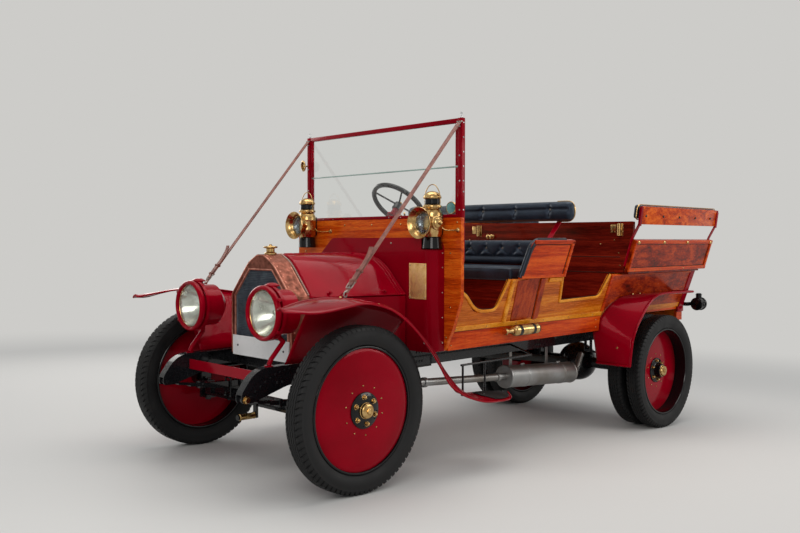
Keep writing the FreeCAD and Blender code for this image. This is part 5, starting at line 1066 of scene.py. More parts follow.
# ---- dashboard -------------------------------------------------------------------------
# One wide board of mahogany behind the casing, with its grain across the car.
# French-polished and then varnished: orange where the light reaches, red-brown in the grain.
def varnished_wood(name, dark, middle, light, grain, gloss=0.2, figure=1.0):
    """Hardwood under varnish; grain gives the pattern's stretch along x, y and z."""
    finish, tree, shader, place = new_finish(name)
    level = add_node(tree, "Mapping", {"Vector": place, "Rotation": (0, -lean, 0)})
    # ribbons 30 to 60 mm wide run along the board
    broad = add_node(tree, "Mapping", {"Vector": level, "Scale": [g * 20 for g in grain]})
    ribbon = add_node(tree, "TexNoise", {"Vector": broad, "Scale": 1.0, "Detail": 5.0,
                                         "Distortion": 1.1 * figure})
    # growth lines 3 to 5 mm apart
    close = add_node(tree, "Mapping", {"Vector": level, "Scale": [g * 190 for g in grain]})
    lines = add_node(tree, "TexNoise", {"Vector": close, "Scale": 1.0, "Detail": 6.0,
                                        "Roughness": 0.6, "Distortion": 0.4})
    both = add_node(tree, "Mix", {0: 0.42, 2: ribbon, 3: lines}, data_type="FLOAT")
    colour = add_node(tree, "ValToRGB", {"Fac": both},
                      stops=((0.34, dark), (0.60, light), (0.47, middle)))
    # open pores: real ones are 0.2 mm wide, drawn 1 mm wide so that they show
    fine = add_node(tree, "Mapping", {"Vector": level, "Scale": [g * 700 for g in grain]})
    pores = add_node(tree, "TexNoise", {"Vector": fine, "Scale": 1.0, "Detail": 2.0})
    pits = add_node(tree, "MapRange", {"Value": pores, "From Min": 0.30, "From Max": 0.46,
                                       "To Min": 0.55, "To Max": 1.0})
    deep = add_node(tree, "Mix", {0: 1.0, 6: colour, 7: pits}, data_type="RGBA",
                    blend_type="MULTIPLY")
    rubbed = add_node(tree, "MapRange", {"Value": lines, "To Min": gloss * 0.7,
                                         "To Max": gloss * 1.7})
    edge = add_node(tree, "Bevel", {"Radius": 0.0022}, samples=4)
    skin = add_node(tree, "Bump", {"Height": lines, "Strength": 0.14, "Distance": 0.0008,
                                   "Normal": edge})
    feed(tree, shader, {"Base Color": deep.outputs[2], "Roughness": rubbed, "Normal": skin,
                        "Coat Weight": 0.05, "Coat Roughness": 0.08, "Specular IOR Level": 0.26,
                        "Specular Tint": linear("#FF8A4A")})
    return finish


mahogany_wide = varnished_wood("mahogany_grain_across", "#7A2204", "#BE4208", "#DC6818",
                               (1.0, 0.06, 1.0))
mahogany_long = varnished_wood("mahogany_grain_along", "#701803", "#B43306", "#D25414",
                               (0.05, 1.0, 1.0))
mahogany_deep = varnished_wood("red_mahogany_grain_across", "#300704", "#561009", "#7A1E10",
                               (1.0, 0.05, 1.0), 0.14, 0.6)
ash_long = varnished_wood("ash_grain_along", "#8C3A05", "#BC5C0C", "#D47C1E", (0.05, 1.0, 1.0),
                          0.22, 0.5)
give(mahogany_wide, "dash_board")

# ---- windscreen ------------------------------------------------------------------------
# Two panes between square steel posts in crimson, which run down behind the dashboard.
# Each pane has a thin sash screwed to the posts; the upper pane's lower edge is bare glass.
pane_glass, tree, shader, place = new_finish("clear_plate_glass")
# polished plate: ripples of about 150 mm, and dust gathered in the corners
ripple = add_node(tree, "TexNoise", {"Vector": place, "Scale": 6.0, "Detail": 2.0})
skin = add_node(tree, "Bump", {"Height": ripple, "Strength": 0.03, "Distance": 0.004})
dust = add_node(tree, "MapRange", {"Value": ripple, "To Min": 0.0, "To Max": 0.03})
feed(tree, shader, {"Base Color": linear("#FAFCFB"), "IOR": 1.45, "Roughness": dust,
                    "Transmission Weight": 1.0, "Normal": skin})
give(pane_glass, "windscreen_glass")
post_x, post_y, screen_top, post_half = -0.808, 0.668, 1.908, 0.015
front_x = post_x + post_half
shape = bmesh.new()
for sign in (1, -1):
    y = sign * post_y
    slab(shape, (post_x - post_half, y - post_half, 1.112), (front_x, y + post_half, screen_top))
    slab(shape, (front_x - 0.004, y - 0.012, 1.152), (-0.7722, y + 0.012, 1.202), 0.002)
    inner = sign * (post_y - 0.0265)
    for low, high in ((1.374, 1.636), (1.646, 1.898)):
        slab(shape, (post_x - 0.008, inner - 0.010, low), (post_x + 0.010, inner + 0.010, high),
             0.002)
        rivets(shape, [(post_x + 0.010, inner, z) for z in (low + 0.012, high - 0.012)], (1, 0, 0),
               0.0045)
for low, high in ((1.357, 1.377), (1.881, 1.9075)):
    slab(shape, (post_x - 0.012, -post_y, low), (post_x + 0.012, post_y, high))
frame_piece = make_piece("windscreen_posts_and_sashes", shape, crimson)
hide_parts("windscreen_frame")
# an opaque strip on the upper pane's lower edge: green like a glass edge, made pale as a painted
# highlight
shape = bmesh.new()
slab(shape, (post_x - 0.003, -0.646, 1.6370), (post_x + 0.003, 0.646, 1.6445), 0.0015)
sheen = coach_enamel("green_glass_edge_painted_highlight", "#7E9A92", "#A5BDB5", 0.3, 0.5, 0.0008)
make_piece("pane_lower_edge", shape, sheen)
shape = bmesh.new()
for sign in (1, -1):
    rivets(shape, [(front_x, sign * post_y, z) for z in (1.40, 1.56, 1.70, 1.86)], (1, 0, 0),
           0.0050)
    edge_heights = (1.16, 1.24, 1.32, 1.40, 1.50, 1.56, 1.64, 1.72, 1.80, 1.88)
    rivets(shape, [(post_x, sign * (post_y + post_half), z) for z in edge_heights], (0, sign, 0),
           0.0048)
    turned(shape, mm((10, 0), (10, 3), (5.5, 6), (5, 14), (6.6, 20), (5, 28), (2.8, 33), (0, 34)),
           (post_x, sign * post_y, screen_top), (0, 0, 1), 20)
rivets(shape, [(-0.799, y, 1.367) for y in (-0.52, -0.42, 0.10, 0.20)], (1, 0, 0), 0.0050)
dull_steel = polished_brass("dull_steel", "#B9BBBC", "#86888A", 0.3)
make_piece("windscreen_screws", shape, dull_steel)
shape = bmesh.new()
spot = Vector((post_x + 0.050, -post_y - 0.010, 1.722))
turned(shape, mm((30, -6), (36, -4), (37, 0), (34, 4), (30, 4.5), (0, 4.5)), spot,
       (-0.95, 0.3, 0.1), 40)
rod(shape, [spot, spot + Vector((-0.02, 0.0, 0)), Vector((post_x, -post_y, 1.722))], 0.0045, 8)
make_piece("round_mirror", shape, brass)
# a round card holder with a blank sea-green card, stuck inside the lower pane by the post
spot = Vector((post_x - 0.0045, 0.5885, 1.4135))
shape = bmesh.new()
turned(shape, mm((31, 0.2), (32.5, 1.2), (35, 1.2), (36, -1), (36, -6), (34, -7.5), (0, -7.5),
                 (0, -6.2), (31, -5.8), (31, 0.2)), spot, (1, 0, 0), 40)
make_piece("card_holder", shape, brass)
shape = bmesh.new()
turned(shape, mm((0, -0.4), (31.2, -0.4), (31.2, -5), (0, -5)), spot, (1, 0, 0), 40)
card = coach_enamel("sea_green_card", "#2F9AA6", "#8FD3D2", 0.5, 0.0, 0.002)
make_piece("blank_round_card", shape, card)

# ---- stay straps -----------------------------------------------------------------------
# Long harness straps that stay the windscreen, from each post's head to the mudguard.
# Russet bridle leather, waxed, with stitched edges, a steel roller buckle and a hook.
strap_leather, tree, shader, place = new_finish("russet_bridle_leather")
wear = add_node(tree, "TexNoise", {"Vector": place, "Scale": 26.0, "Detail": 7.0,
                                   "Roughness": 0.65})
colour = add_node(tree, "ValToRGB", {"Fac": wear},
                  stops=((0.3, "#5A3029"), (0.7, "#9C6454"), (0.5, "#7C4A3F")))
# the hide's grain is about 1 mm, drawn 2 mm so that it shows
hide = add_node(tree, "TexVoronoi", {"Vector": place, "Scale": 480.0})
skin = add_node(tree, "Bump", {"Height": hide, "Strength": 0.3, "Distance": 0.0006})
dull = add_node(tree, "MapRange", {"Value": wear, "To Min": 0.62, "To Max": 0.38})
feed(tree, shader, {"Base Color": colour, "Roughness": dull, "Normal": skin})
give(strap_leather, "screen_straps")
head = Vector((post_x + 0.0153, post_y, screen_top - 0.024))
foot_spot = Vector((0.020, 0.640, 0.962))
run = (foot_spot - head).normalized()
wide = (Vector((0, 1, 0)) - run * run.y).normalized()
out = run.cross(wide).normalized()
steel = polished_brass("bright_buckle_steel", "#B4B2AC", "#6E6B66", 0.28)
strap_half, strap_thick = 0.0145, 0.0035
stitch_pitch, stitch_long = 0.0118, 0.0062
for side, sign, mirror in drawn_sides:
    shape = bmesh.new()
    for edge_side in (-0.0115, 0.0115):
        for k in range(104):
            spot = head + run * (0.03 + k * stitch_pitch) + wide * edge_side + out * 0.0040
            if (foot_spot - spot).length > 0.03:
                rod(shape, mirror([spot, spot + run * stitch_long]), 0.0009, 4)
    make_piece(side + "_strap_stitches", shape, strap_leather)
    shape = bmesh.new()
    # the strap's free end is turned back through the buckle, with a keeper round both
    tail = fair([foot_spot - run * (0.055 + back) + out * lift for back, lift in
                 ((0, 0.006), (0.06, 0.0085), (0.14, 0.0075), (0.20, 0.014), (0.235, 0.026))], 6)
    section = [wide * u + out * v for u, v in
               ((-strap_half, 0), (strap_half, 0), (strap_half, strap_thick),
                (-strap_half, strap_thick))]
    sew(shape, [[shape.verts.new(p) for p in mirror([spot + corner for corner in section])]
                for spot in tail], capped=True)
    for along in (0.085, 0.150):
        spot = foot_spot - run * along + out * 0.004
        loop = [spot + wide * u + out * v for u, v in
                ((-0.017, -0.007), (-0.017, 0.010), (0.017, 0.010), (0.017, -0.007))]
        for a, b in zip(loop, loop[1:] + loop[:1]):
            for shift in (-0.004, 0.0, 0.004):
                rod(shape, mirror([a + run * shift, b + run * shift]), 0.0021, 6)
    make_piece(side + "_strap_tail", shape, strap_leather)
    shape = bmesh.new()
    spot = foot_spot - run * 0.060 + out * 0.005
    ring = bent([(*(spot - run * 0.020), 0), (*(spot - run * 0.020 + wide * 0.021), 0.006),
                 (*(spot + run * 0.018 + wide * 0.021), 0.006), (*(spot + run * 0.018), 0)])
    rod(shape, mirror(ring), 0.0028, 8)
    rod(shape, mirror([p - wide * (2 * (p - spot).dot(wide)) for p in ring]), 0.0028, 8)
    rod(shape, mirror([spot + run * 0.018, spot - run * 0.022 + out * 0.003]), 0.0022, 8)
    hook = fair([foot_spot - run * 0.030, foot_spot - run * 0.008 + out * 0.010,
                 foot_spot + run * 0.008, foot_spot + run * 0.002 - out * 0.012,
                 foot_spot - run * 0.012 - out * 0.010], 6)
    rod(shape, mirror(hook), 0.0032, 8)
    rod(shape, mirror([head + out * 0.003 - wide * 0.019, head + out * 0.003 + wide * 0.019]),
        0.004, 8)
    rivets(shape, mirror([head + run * 0.020 + wide * y + out * 0.004 for y in (-0.008, 0.008)]),
           mirror([out])[0], 0.0035)
    make_piece(side + "_strap_buckle", shape, steel)

# ---- side lamps ------------------------------------------------------------------------
# Oil lamps: a spun funnel and bull's-eye, a soldered drum, a banded chimney and a bail.
# Drum and chimney are brass; the font below and the chimney's band are japanned black.
cowl_rivets = 14
for side, sign in car_sides:
    bezel = Vector((-0.583, sign * 0.556, 1.326))
    core = bezel + Vector((-0.110, 0, 0))
    shape = bmesh.new()
    turned(shape, mm((56, -42), (56.5, -30), (61, -20), (72, -9), (82, -2), (86, 1.2), (88, -1),
                     (87.2, -5), (82, -8.5), (70, -17), (61, -26), (59, -34), (56, -50), (44, -64),
                     (44, -80)), bezel, (1, 0, 0), 72)
    turned(shape, mm((53, -32.5), (56.5, -28.5), (59, -25), (56.5, -30)), bezel, (1, 0, 0), 64)
    turned(shape, mm((0, -79), (42, -79), (48, -75), (50.5, -66), (54.5, -60), (55, -30),
                     (56, -26), (55, -22), (55, 30), (56.5, 34), (55, 38), (54, 56), (47, 72),
                     (40, 80), (40, 85)), core, (0, 0, 1), 56)
    turned(shape, mm((40, 83), (52, 85), (54, 90), (53, 96), (46, 102), (38, 106)), core,
           (0, 0, 1), 56)
    turned(shape, mm((38, 134), (49, 136), (51, 140), (49, 150), (42, 162), (28, 172), (12, 177),
                     (0, 178.5)), core, (0, 0, 1), 56)
    for turn in [2 * pi * k / cowl_rivets for k in range(cowl_rivets)]:
        rivets(shape, [core + Vector((0.0500 * cos(turn), 0.0500 * sin(turn), 0.1440))],
               (cos(turn), sin(turn), 0.2), 0.0024)
    flank = core + Vector((0.012, sign * 0.050, 0.0))
    turned(shape, mm((40, -6), (40, 4), (37, 8), (30, 10), (26, 16), (16, 20), (10, 21), (7, 26),
                     (11, 31), (8, 37), (0, 39)), flank, (0.2, sign, 0), 40)
    bail_side = mm((54, 91), (59, 120), (52, 170), (28, 204))
    bail = [(-y, z) for y, z in bail_side] + [(0.0, 0.214)] + bail_side[::-1]
    rod(shape, fair([core + Vector((0, y, z)) for y, z in bail], 6), 0.0026, 8)
    for way in (1, -1):
        turned(shape, mm((7.5, 0), (7.5, 8), (0, 11)), core + Vector((0, way * 0.049, 0.091)),
               (0, way, 0), 16)
    eye = Vector((-0.7495, 0.696 if sign > 0 else -0.388, 1.288))
    near = core + Vector((-0.030, 0.043, -0.020))
    stay_path = [near, near.lerp(eye, 0.25) + Vector((0.01, 0, -0.012)),
                 near.lerp(eye, 0.55) + Vector((0.008, 0, -0.010)), eye + Vector((0.006, 0, 0))]
    rod(shape, fair(stay_path, 6), 0.0034, 8)
    turned(shape, mm((13, 0), (13, 3), (8, 6), (8, 12), (0, 14)), eye, (1, 0, 0), 20)
    lamp_brass = make_piece(side + "_oil_lamp", shape, brass)
    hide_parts("side_lamps")
    shape = bmesh.new()
    turned(shape, mm((37, 104), (44, 107), (44, 133), (37, 136)), core, (0, 0, 1), 48)
    turned(shape, mm((42, -77), (50.5, -80), (51.5, -95), (53.5, -115), (55, -133), (56, -138),
                     (54, -141), (0, -142)), core, (0, 0, 1), 48)
    slab(shape, (-0.7498, core.y - 0.030, 1.262), (-0.7440, core.y + 0.030, 1.380), 0.002)
    make_piece(side + "_oil_font", shape, rim_black)
    shape = bmesh.new()
    bulge = [(0.0545 * t, -0.0310 + 0.0150 * (1 - t * t)) for t in (1, 0.9, 0.75, 0.5, 0.25)]
    turned(shape, bulge + [(0.0, -0.0160), (0.0, -0.0200)]
           + [(r * 0.97, x - 0.0035) for r, x in reversed(bulge)] + bulge[:1], bezel, (1, 0, 0), 48)
    make_piece(side + "_oil_lamp_glass", shape, lamp_glass)
    shape = bmesh.new()
    turned(shape, mm((54, -33.5), (48, -48), (36, -60), (18, -68), (0, -70)), bezel, (1, 0, 0), 48)
    tarnished = polished_brass("tarnished_silver_" + side, "#8E949C", "#5A5F68", 0.18)
    make_piece(side + "_oil_lamp_mirror", shape, tarnished)

# ---- lower body ------------------------------------------------------------------------
# The sides are ash boards that lean out, over a mahogany sill, cut low at each entrance.
# Steamed ash rims are nailed round the cut-outs; pilasters frame a mahogany panel between.
give(ash_long, "body_sides", "floor")
give(mahogany_long, "sill_boards")
sill_high = body_box("sill_boards")[1]


def leaning_board(foot, out, rise):
    """A board that leans out: the way off its face, and a function for places on it."""
    up, off = Vector((0, out, rise)).normalized(), Vector((0, rise, -out)).normalized()

    def place(x, height, lift=0.0):
        """A point on the board: along it, up its slope, and lifted off its face."""
        return foot + Vector((x, 0, 0)) + up * height + off * lift
    return off, place


proud, on_side = leaning_board(Vector((0, sill_high.y, sill_high.z)), 0.100, 0.288)


def batten(shape, path, width, thick, normal, inset=None):
    """Adds a flat strip with rounded edges that lies on a face, centred on a path or inset."""
    inset = -width / 2 if inset is None else inset
    path = [Vector(p) for p in path]
    normal = Vector(normal).normalized()
    round_off = min(thick * 0.45, width * 0.2)
    section = ((0, -0.001), (0, thick - round_off), (round_off, thick),
               (width - round_off, thick), (width, thick - round_off), (width, -0.001))
    rings = []
    for spot, run in zip(path, headings(path)):
        side = run.cross(normal).normalized()
        rings.append([shape.verts.new(spot + side * (u + inset) + normal * v) for u, v in section])
    sew(shape, rings, capped=True)


sill_front, pilaster_x, rear_end, side_top = -0.780, -2.330, -3.480, 0.3035
mahogany_red = varnished_wood("figured_red_mahogany", "#3C0C02", "#7E1C05", "#B03C0C",
                              (0.16, 0.6, 0.36), 0.2, 1.5)
ash_rim = varnished_wood("steamed_ash_rims", "#B0600E", "#D8841C", "#E89C34", (0.25, 0.6, 0.6),
                         0.2, 0.4)
mahogany_up = varnished_wood("mahogany_grain_upright", "#561202", "#8C2606", "#AC4010",
                             (1.0, 1.0, 0.07))
seam_dark = coach_enamel("dark_varnished_seam", "#1C0A05", "#2E120A", 0.4, 0.1, soften=0.0005)
front_cut = bent([(*on_side(-0.7775, 0.2382), 0), (*on_side(-0.8363, 0.2128), 0.06),
                  (*on_side(-0.9663, 0.1037), 0.11), (*on_side(-1.150, 0.1037), 0.05),
                  (*on_side(-1.2068, 0.3040), 0)], 8)
rear_cut = bent([(*on_side(-1.7280, 0.3040), 0), (*on_side(-1.7760, 0.1249), 0.014),
                 (*on_side(-2.238, 0.1349), 0.05), (*on_side(-2.3000, 0.3040), 0)], 8)
for side, sign, mirror in drawn_sides:
    face = mirror([proud])[0]
    shape = bmesh.new()
    for cut in (front_cut, rear_cut):
        batten(shape, mirror(cut), 0.019, 0.008, face, 0.0005 if sign < 0 else -0.0195)
    make_piece(side + "_entrance_rims", shape, ash_rim)
    shape = bmesh.new()
    for cut in (front_cut, rear_cut):
        batten(shape, mirror(cut), 0.004, 0.0015, face, 0.0205 if sign < 0 else -0.0240)
    for a, b in (((-1.262, 0.036), (-1.247, 0.300)), ((-1.532, 0.018), (-1.494, 0.300))):
        batten(shape, mirror([on_side(*a), on_side(*b)]), 0.006, 0.0025, face, 0.0)
    batten(shape, mirror([on_side(sill_front, 0.0015), on_side(pilaster_x, 0.0015)]), 0.003,
           0.0012, face, 0.0)
    make_piece(side + "_side_seams", shape, seam_dark)
    shape = bmesh.new()
    batten(shape, mirror([on_side(-1.272, 0.034), on_side(-1.256, side_top)]), 0.034, 0.010, face,
           -0.034 if sign > 0 else 0.0)
    batten(shape, mirror([on_side(sill_front, 0.017), on_side(pilaster_x, 0.017)]), 0.030, 0.006,
           face)
    batten(shape, mirror([on_side(-1.600, 0.289), on_side(-1.742, 0.289)]), 0.030, 0.007, face)
    make_piece(side + "_ash_pilaster_and_rail", shape, ash_rim)
    shape = bmesh.new()
    batten(shape, mirror([on_side(-1.4230, 0.034), on_side(-1.3900, side_top)]), 0.206, 0.004, face)
    batten(shape, mirror([on_side(-1.5620, 0.034), on_side(-1.5320, side_top)]), 0.052, 0.010, face)
    make_piece(side + "_mahogany_side_panel", shape, mahogany_up)
    shape = bmesh.new()
    batten(shape, mirror([on_side(pilaster_x, 0.036), on_side(pilaster_x, side_top)]), 0.030,
           0.009, face)
    batten(shape, mirror([on_side(pilaster_x, 0.2960), on_side(-3.508, 0.2960)]), 0.014, 0.009,
           face)
    make_piece(side + "_rear_side_mouldings", shape, mahogany_long)
    shape = bmesh.new()
    batten(shape, mirror([on_side(pilaster_x - 0.016, 0.165), on_side(rear_end, 0.165)]), 0.248,
           0.0035, face)
    make_piece(side + "_rear_side_panel", shape, mahogany_red)
    shape = bmesh.new()
    rivets(shape,
           mirror([on_side(x, 0.017, 0.006) for x in (-0.83, -1.10, -1.38, -1.66, -1.94, -2.22)]),
           face, 0.0040)
    rivets(shape, mirror([Vector((x, sill_high.y, z)) for x in (-0.80, -1.62, -2.28)
                          for z in (0.64, 0.69)]), (0, sign, 0), 0.0045)
    make_piece(side + "_side_screws", shape, brass)

# The dashboard is held to the body's frame by round-head brass screws.
# They run down both edges, and three more are set along its top.
shape = bmesh.new()
dash_face = body_box("dash_board")[1].x
spots = [(dash_face, sign * y, z) for sign in (1, -1)
         for y, z in ((0.640, 0.860), (0.640, 1.16), (0.690, 1.33), (0.610, 0.690))]
spots += [(dash_face, y, 1.325) for y in (-0.25, 0.0, 0.25)]
rivets(shape, spots, (1, 0, 0), 0.0058)
make_piece("dashboard_screws", shape, brass)

# ---- arm panels ------------------------------------------------------------------------
# A framed mahogany board at each end of the driver's bench, leaning out and back.
# Mitred mouldings follow its top and rear edges; a leather roll pads the front edge.
give(mahogany_long, "arm_panels")
arm_front, arm_back = -1.296, -1.755
arm_out, arm_rise = 0.040, 0.232
arm_slant = hypot(arm_out, arm_rise)
arm_face, on_arm = leaning_board(Vector((0, 0.714, 1.003)), arm_out, arm_rise)
for side, sign, mirror in drawn_sides:
    face = mirror([arm_face])[0]
    shape = bmesh.new()
    batten(shape, mirror([on_arm(-1.375, arm_slant - 0.014), on_arm(-1.786, arm_slant - 0.014)]),
           0.026, 0.009, face)
    batten(shape, mirror([on_arm(-1.727, 0.004), on_arm(-1.7785, arm_slant - 0.004)]), 0.026,
           0.009, face)
    batten(shape, mirror([on_arm(-1.292, 0.010), on_arm(-1.735, 0.010)]), 0.020, 0.006, face)
    make_piece(side + "_arm_mouldings", shape, mahogany_long)
    shape = bmesh.new()
    batten(shape, mirror([on_arm(-1.382, arm_slant - 0.031), on_arm(arm_back, arm_slant - 0.031)]),
           0.005, 0.0015, face)
    batten(shape, mirror([on_arm(-1.7085, 0.020), on_arm(-1.7580, arm_slant - 0.030)]), 0.006,
           0.0015, face)
    make_piece(side + "_arm_seams", shape, seam_dark)

# ---- seat box --------------------------------------------------------------------------
# The driver's bench carcass and the two long rear benches are framed in mahogany board.
# Their grain runs along each board, with the same varnish as outside.
give(mahogany_deep, "seat_boxes")

# ---- rear boards -----------------------------------------------------------------------
# A wide red mahogany board crosses behind the driver, with brass bolts at its top corners.
# Flared mahogany panels and bolted upper rails, on crimson irons, run back from it.
give(mahogany_deep, "cross_boards")
give(mahogany_red, "rear_panels")
give(mahogany_long, "rear_door")
give(crimson, "seat_irons")
front = body_box("cross_boards")[1].x
hinge_z = 1.262
shape = bmesh.new()
for sign, offset in ((1, 0.699), (-1, 0.556)):
    y, z, tall = sign * offset, hinge_z, 0.086
    slab(shape, (front - 0.001, y - 0.024, z), (front + 0.003, y + 0.024, z + tall), 0.0015)
    turned(shape, [(0.0100, 0), (0.0150, 0.003), (0.0150, tall - 0.003), (0.0100, tall)],
           (front + 0.012, y, z), (0, 0, 1), 20)
    slab(shape, (front - 0.001, y - 0.072, z + 0.022),
         (front + 0.003, y - 0.034, z + tall - 0.006), 0.0015)
    for dz in (0.030, tall - 0.014):
        rivets(shape, [(front + 0.003, y + s, z + dz) for s in (-0.064, -0.042, -0.020, 0.020)],
               (1, 0, 0), 0.0030)
for sign in (1, -1):
    rivets(shape, [(front, sign * 0.655, 1.236), (front, sign * 0.545, 1.206),
                   (front, sign * 0.690, 1.145), (front, sign * 0.700, 1.06)], (1, 0, 0), 0.0055)
for y in (-0.452, -0.418):
    turned(shape, mm((15, 0), (15, 4), (8, 8), (8, 16), (16, 20), (17, 27), (10, 33), (0, 34)),
           (front, y, hinge_z), (1, 0, 0), 24)
make_piece("cross_board_bolts", shape, brass)
shape = bmesh.new()
batten(shape, [(front, y, 1.118) for y in (-0.70, 0.70)], 0.006, 0.002, (1, 0, 0))
batten(shape, [(front, y, 1.010) for y in (-0.66, 0.66)], 0.006, 0.002, (1, 0, 0))
make_piece("cross_board_seams", shape, seam_dark)

rail_wood = varnished_wood("figured_mahogany_rail", "#6A1803", "#B43A08", "#D86018",
                           (0.22, 1.0, 0.5), 0.2, 2.2)
flare_out, flare_rise = 0.065, 0.220
flare_slant = hypot(flare_out, flare_rise)
flare_face, on_flare = leaning_board(Vector((0, 0.752, 1.016)), flare_out, flare_rise)
flare_front, flare_back = -2.424, -3.556
rail_front, rail_back, rail_height = -2.4305, -3.5555, 0.1225
rail_foot = Vector((0, 0.850, 1.340))
rail_face, on_rail = leaning_board(rail_foot, 0.017, 0.122)
rail_bolt_xs = (-2.484, -2.718, -2.950, -3.193, -3.434)
for side, sign, mirror in drawn_sides:
    face = mirror([flare_face])[0]
    shape = bmesh.new()
    batten(shape, mirror([on_flare(flare_front, flare_slant - 0.015),
                          on_flare(flare_back, flare_slant - 0.015)]), 0.028, 0.010, face)
    batten(shape, mirror([on_flare(flare_front, 0.015), on_flare(flare_back, 0.015)]), 0.028,
           0.010, face)
    for x in (flare_front - 0.012, flare_back + 0.012):
        batten(shape, mirror([on_flare(x, 0.004), on_flare(x, flare_slant - 0.004)]), 0.026,
               0.0095, face)
    make_piece(side + "_flared_mouldings", shape, mahogany_long)
    shape = bmesh.new()
    for z in (0.031, flare_slant - 0.031):
        batten(shape, mirror([on_flare(flare_front - 0.028, z), on_flare(flare_back + 0.028, z)]),
               0.005, 0.0015, face)
    for x in (flare_front - 0.027, flare_back + 0.027):
        batten(shape, mirror([on_flare(x, 0.032), on_flare(x, flare_slant - 0.032)]), 0.005,
               0.0015, face)
    make_piece(side + "_flared_seams", shape, seam_dark)
    shape = bmesh.new()
    for x in (-2.455, -2.805, -3.150, -3.520):
        turned(shape, mm((12, 0), (12, 3), (9, 5), (8, 9), (0, 12.5)),
               mirror([on_flare(x, flare_slant - 0.016, 0.010)])[0], face, 18)
    rivets(shape, mirror([on_flare(x, 0.015, 0.010) for x in (-2.50, -2.85, -3.20, -3.50)]), face,
           0.0045)
    make_piece(side + "_flared_screws", shape, brass)
    outward = mirror([rail_face])[0]
    shape = bmesh.new()
    outline = bent([(*on_rail(rail_front, 0.0005), 0), (*on_rail(rail_front, rail_height), 0.030),
                    (*on_rail(rail_back, rail_height), 0.034), (*on_rail(rail_back, 0.0005), 0.010),
                    (*on_rail(rail_front, 0.0005), 0)], 8)[:-1]
    middle = on_rail((rail_front + rail_back) / 2, 0.0615)
    sew(shape, [[shape.verts.new(p) for p in mirror(
        [p + (middle - p).normalized() * shrink + rail_face * lift for p in outline])]
        for lift, shrink in ((-0.0215, 0.0), (-0.004, 0.0), (-0.001, 0.0012), (0.0, 0.004))],
        capped=True)
    board = make_piece(side + "_rail_board", shape, rail_wood)
    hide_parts("rear_rails")
    shape = bmesh.new()
    batten(shape, mirror([on_rail(rail_front + 0.014, -0.010, 0.001),
                          on_rail(rail_front + 0.014, 0.118, 0.001)]), 0.028, 0.005, outward)
    batten(shape, mirror([on_rail(rail_back + 0.0145, -0.010, 0.001),
                          on_rail(rail_back + 0.0145, 0.108, 0.001)]), 0.026, 0.005, outward)
    make_piece(side + "_rail_end_irons", shape, crimson)
    shape = bmesh.new()
    for x in rail_bolt_xs:
        turned(shape, mm((9, 0), (9, 2), (7.2, 2), (6.8, 5), (0, 7.5)),
               mirror([on_rail(x, 0.058)])[0], outward, 14)
    make_piece(side + "_rail_bolts", shape, chassis_black)

# ---- rear door -------------------------------------------------------------------------
# A framed mahogany door between the benches, with a brass knob and handle.
# Its knob and handle are cast brass, and brass screws go through the frame at two heights.
door_low, door_high = body_box("rear_door")
door_x, door_y = -3.492, 0.392
knob = (door_x, -0.330, 1.02)
shape = bmesh.new()
for z in (door_low.z + 0.018, door_high.z - 0.018):
    batten(shape, [(door_x, y, z) for y in (-door_y + 0.004, door_y - 0.010)], 0.030, 0.007,
           (-1, 0, 0))
for y in (-door_y + 0.018, 0.300):
    batten(shape, [(door_x, y, z) for z in (door_low.z + 0.004, door_high.z - 0.004)], 0.030,
           0.0065, (-1, 0, 0))
make_piece("rear_door_mouldings", shape, mahogany_up, "rear_door")
shape = bmesh.new()
turned(shape, mm((20, 0), (20, 4), (9, 8), (9, 26), (0, 26)), knob, (-1, 0, 0), 24)
rod(shape, fair([(-3.512, -0.330, 1.02), (-3.516, -0.300, 1.018), (-3.514, -0.255, 1.008),
                 (-3.512, -0.225, 1.010)], 5), [0.008] * 5 + [0.0065] * 5 + [0.0075] * 6, 10)
for z in (0.830, 1.120):
    rivets(shape, [(-3.5005, y, z) for y in (0.345, 0.370)], (-1, 0, 0), 0.0045)
make_piece("rear_door_handle", shape, brass, "rear_door")

# ---- leather upholstery ----------------------------------------------------------------
# Blue-black hide stuffed with horsehair, its colour lifted towards blue-grey partly as a painted
# highlight: bench cushions, buttoned squab, back roll, rail pads.
# Each case is blown up by a cloth simulation while its seams, buttons and seat are held.
def upholstery_hide(name, dark, light):
    """Stuffed leather: pebbles of 1 to 2 mm on creases of 20 to 40 mm, rubbed in patches."""
    finish, tree, shader, place = new_finish(name)
    wear = add_node(tree, "TexNoise", {"Vector": place, "Scale": 9.0, "Detail": 8.0,
                                       "Roughness": 0.6})
    colour = add_node(tree, "ValToRGB", {"Fac": wear}, stops=((0.3, dark), (0.72, light)))
    dull = add_node(tree, "MapRange", {"Value": wear, "From Min": 0.3, "From Max": 0.7,
                                       "To Min": 0.44, "To Max": 0.28})
    pebbles = add_node(tree, "TexVoronoi", {"Vector": place, "Scale": 620.0})
    grain = add_node(tree, "Bump", {"Height": pebbles, "Strength": 0.22, "Distance": 0.0006})
    folds = add_node(tree, "TexNoise", {"Vector": place, "Scale": 42.0, "Detail": 3.0,
                                        "Distortion": 0.8})
    skin = add_node(tree, "Bump", {"Height": folds, "Strength": 0.22, "Distance": 0.005,
                                   "Normal": grain})
    feed(tree, shader, {"Base Color": colour, "Roughness": dull, "Normal": skin,
                        "Specular IOR Level": 0.42, "Specular Tint": linear("#B4C6E2"),
                        "Coat Weight": 0.06})
    return finish


# the seats' hide is lifted towards blue-grey, partly a painted highlight; the trim hide is darker
hide = upholstery_hide("blue_black_hide_partly_painted_highlight", "#10151C", "#262F3B")
trim_hide = upholstery_hide("black_trim_hide", "#08090B", "#15181C")


def to_line(spot, start, end):
    """How far a spot is from a straight line between two points."""
    run = end - start
    along = max(0.0, min(1.0, (spot - start).dot(run) / max(run.length_squared, 1e-9)))
    return (spot - start - run * along).length


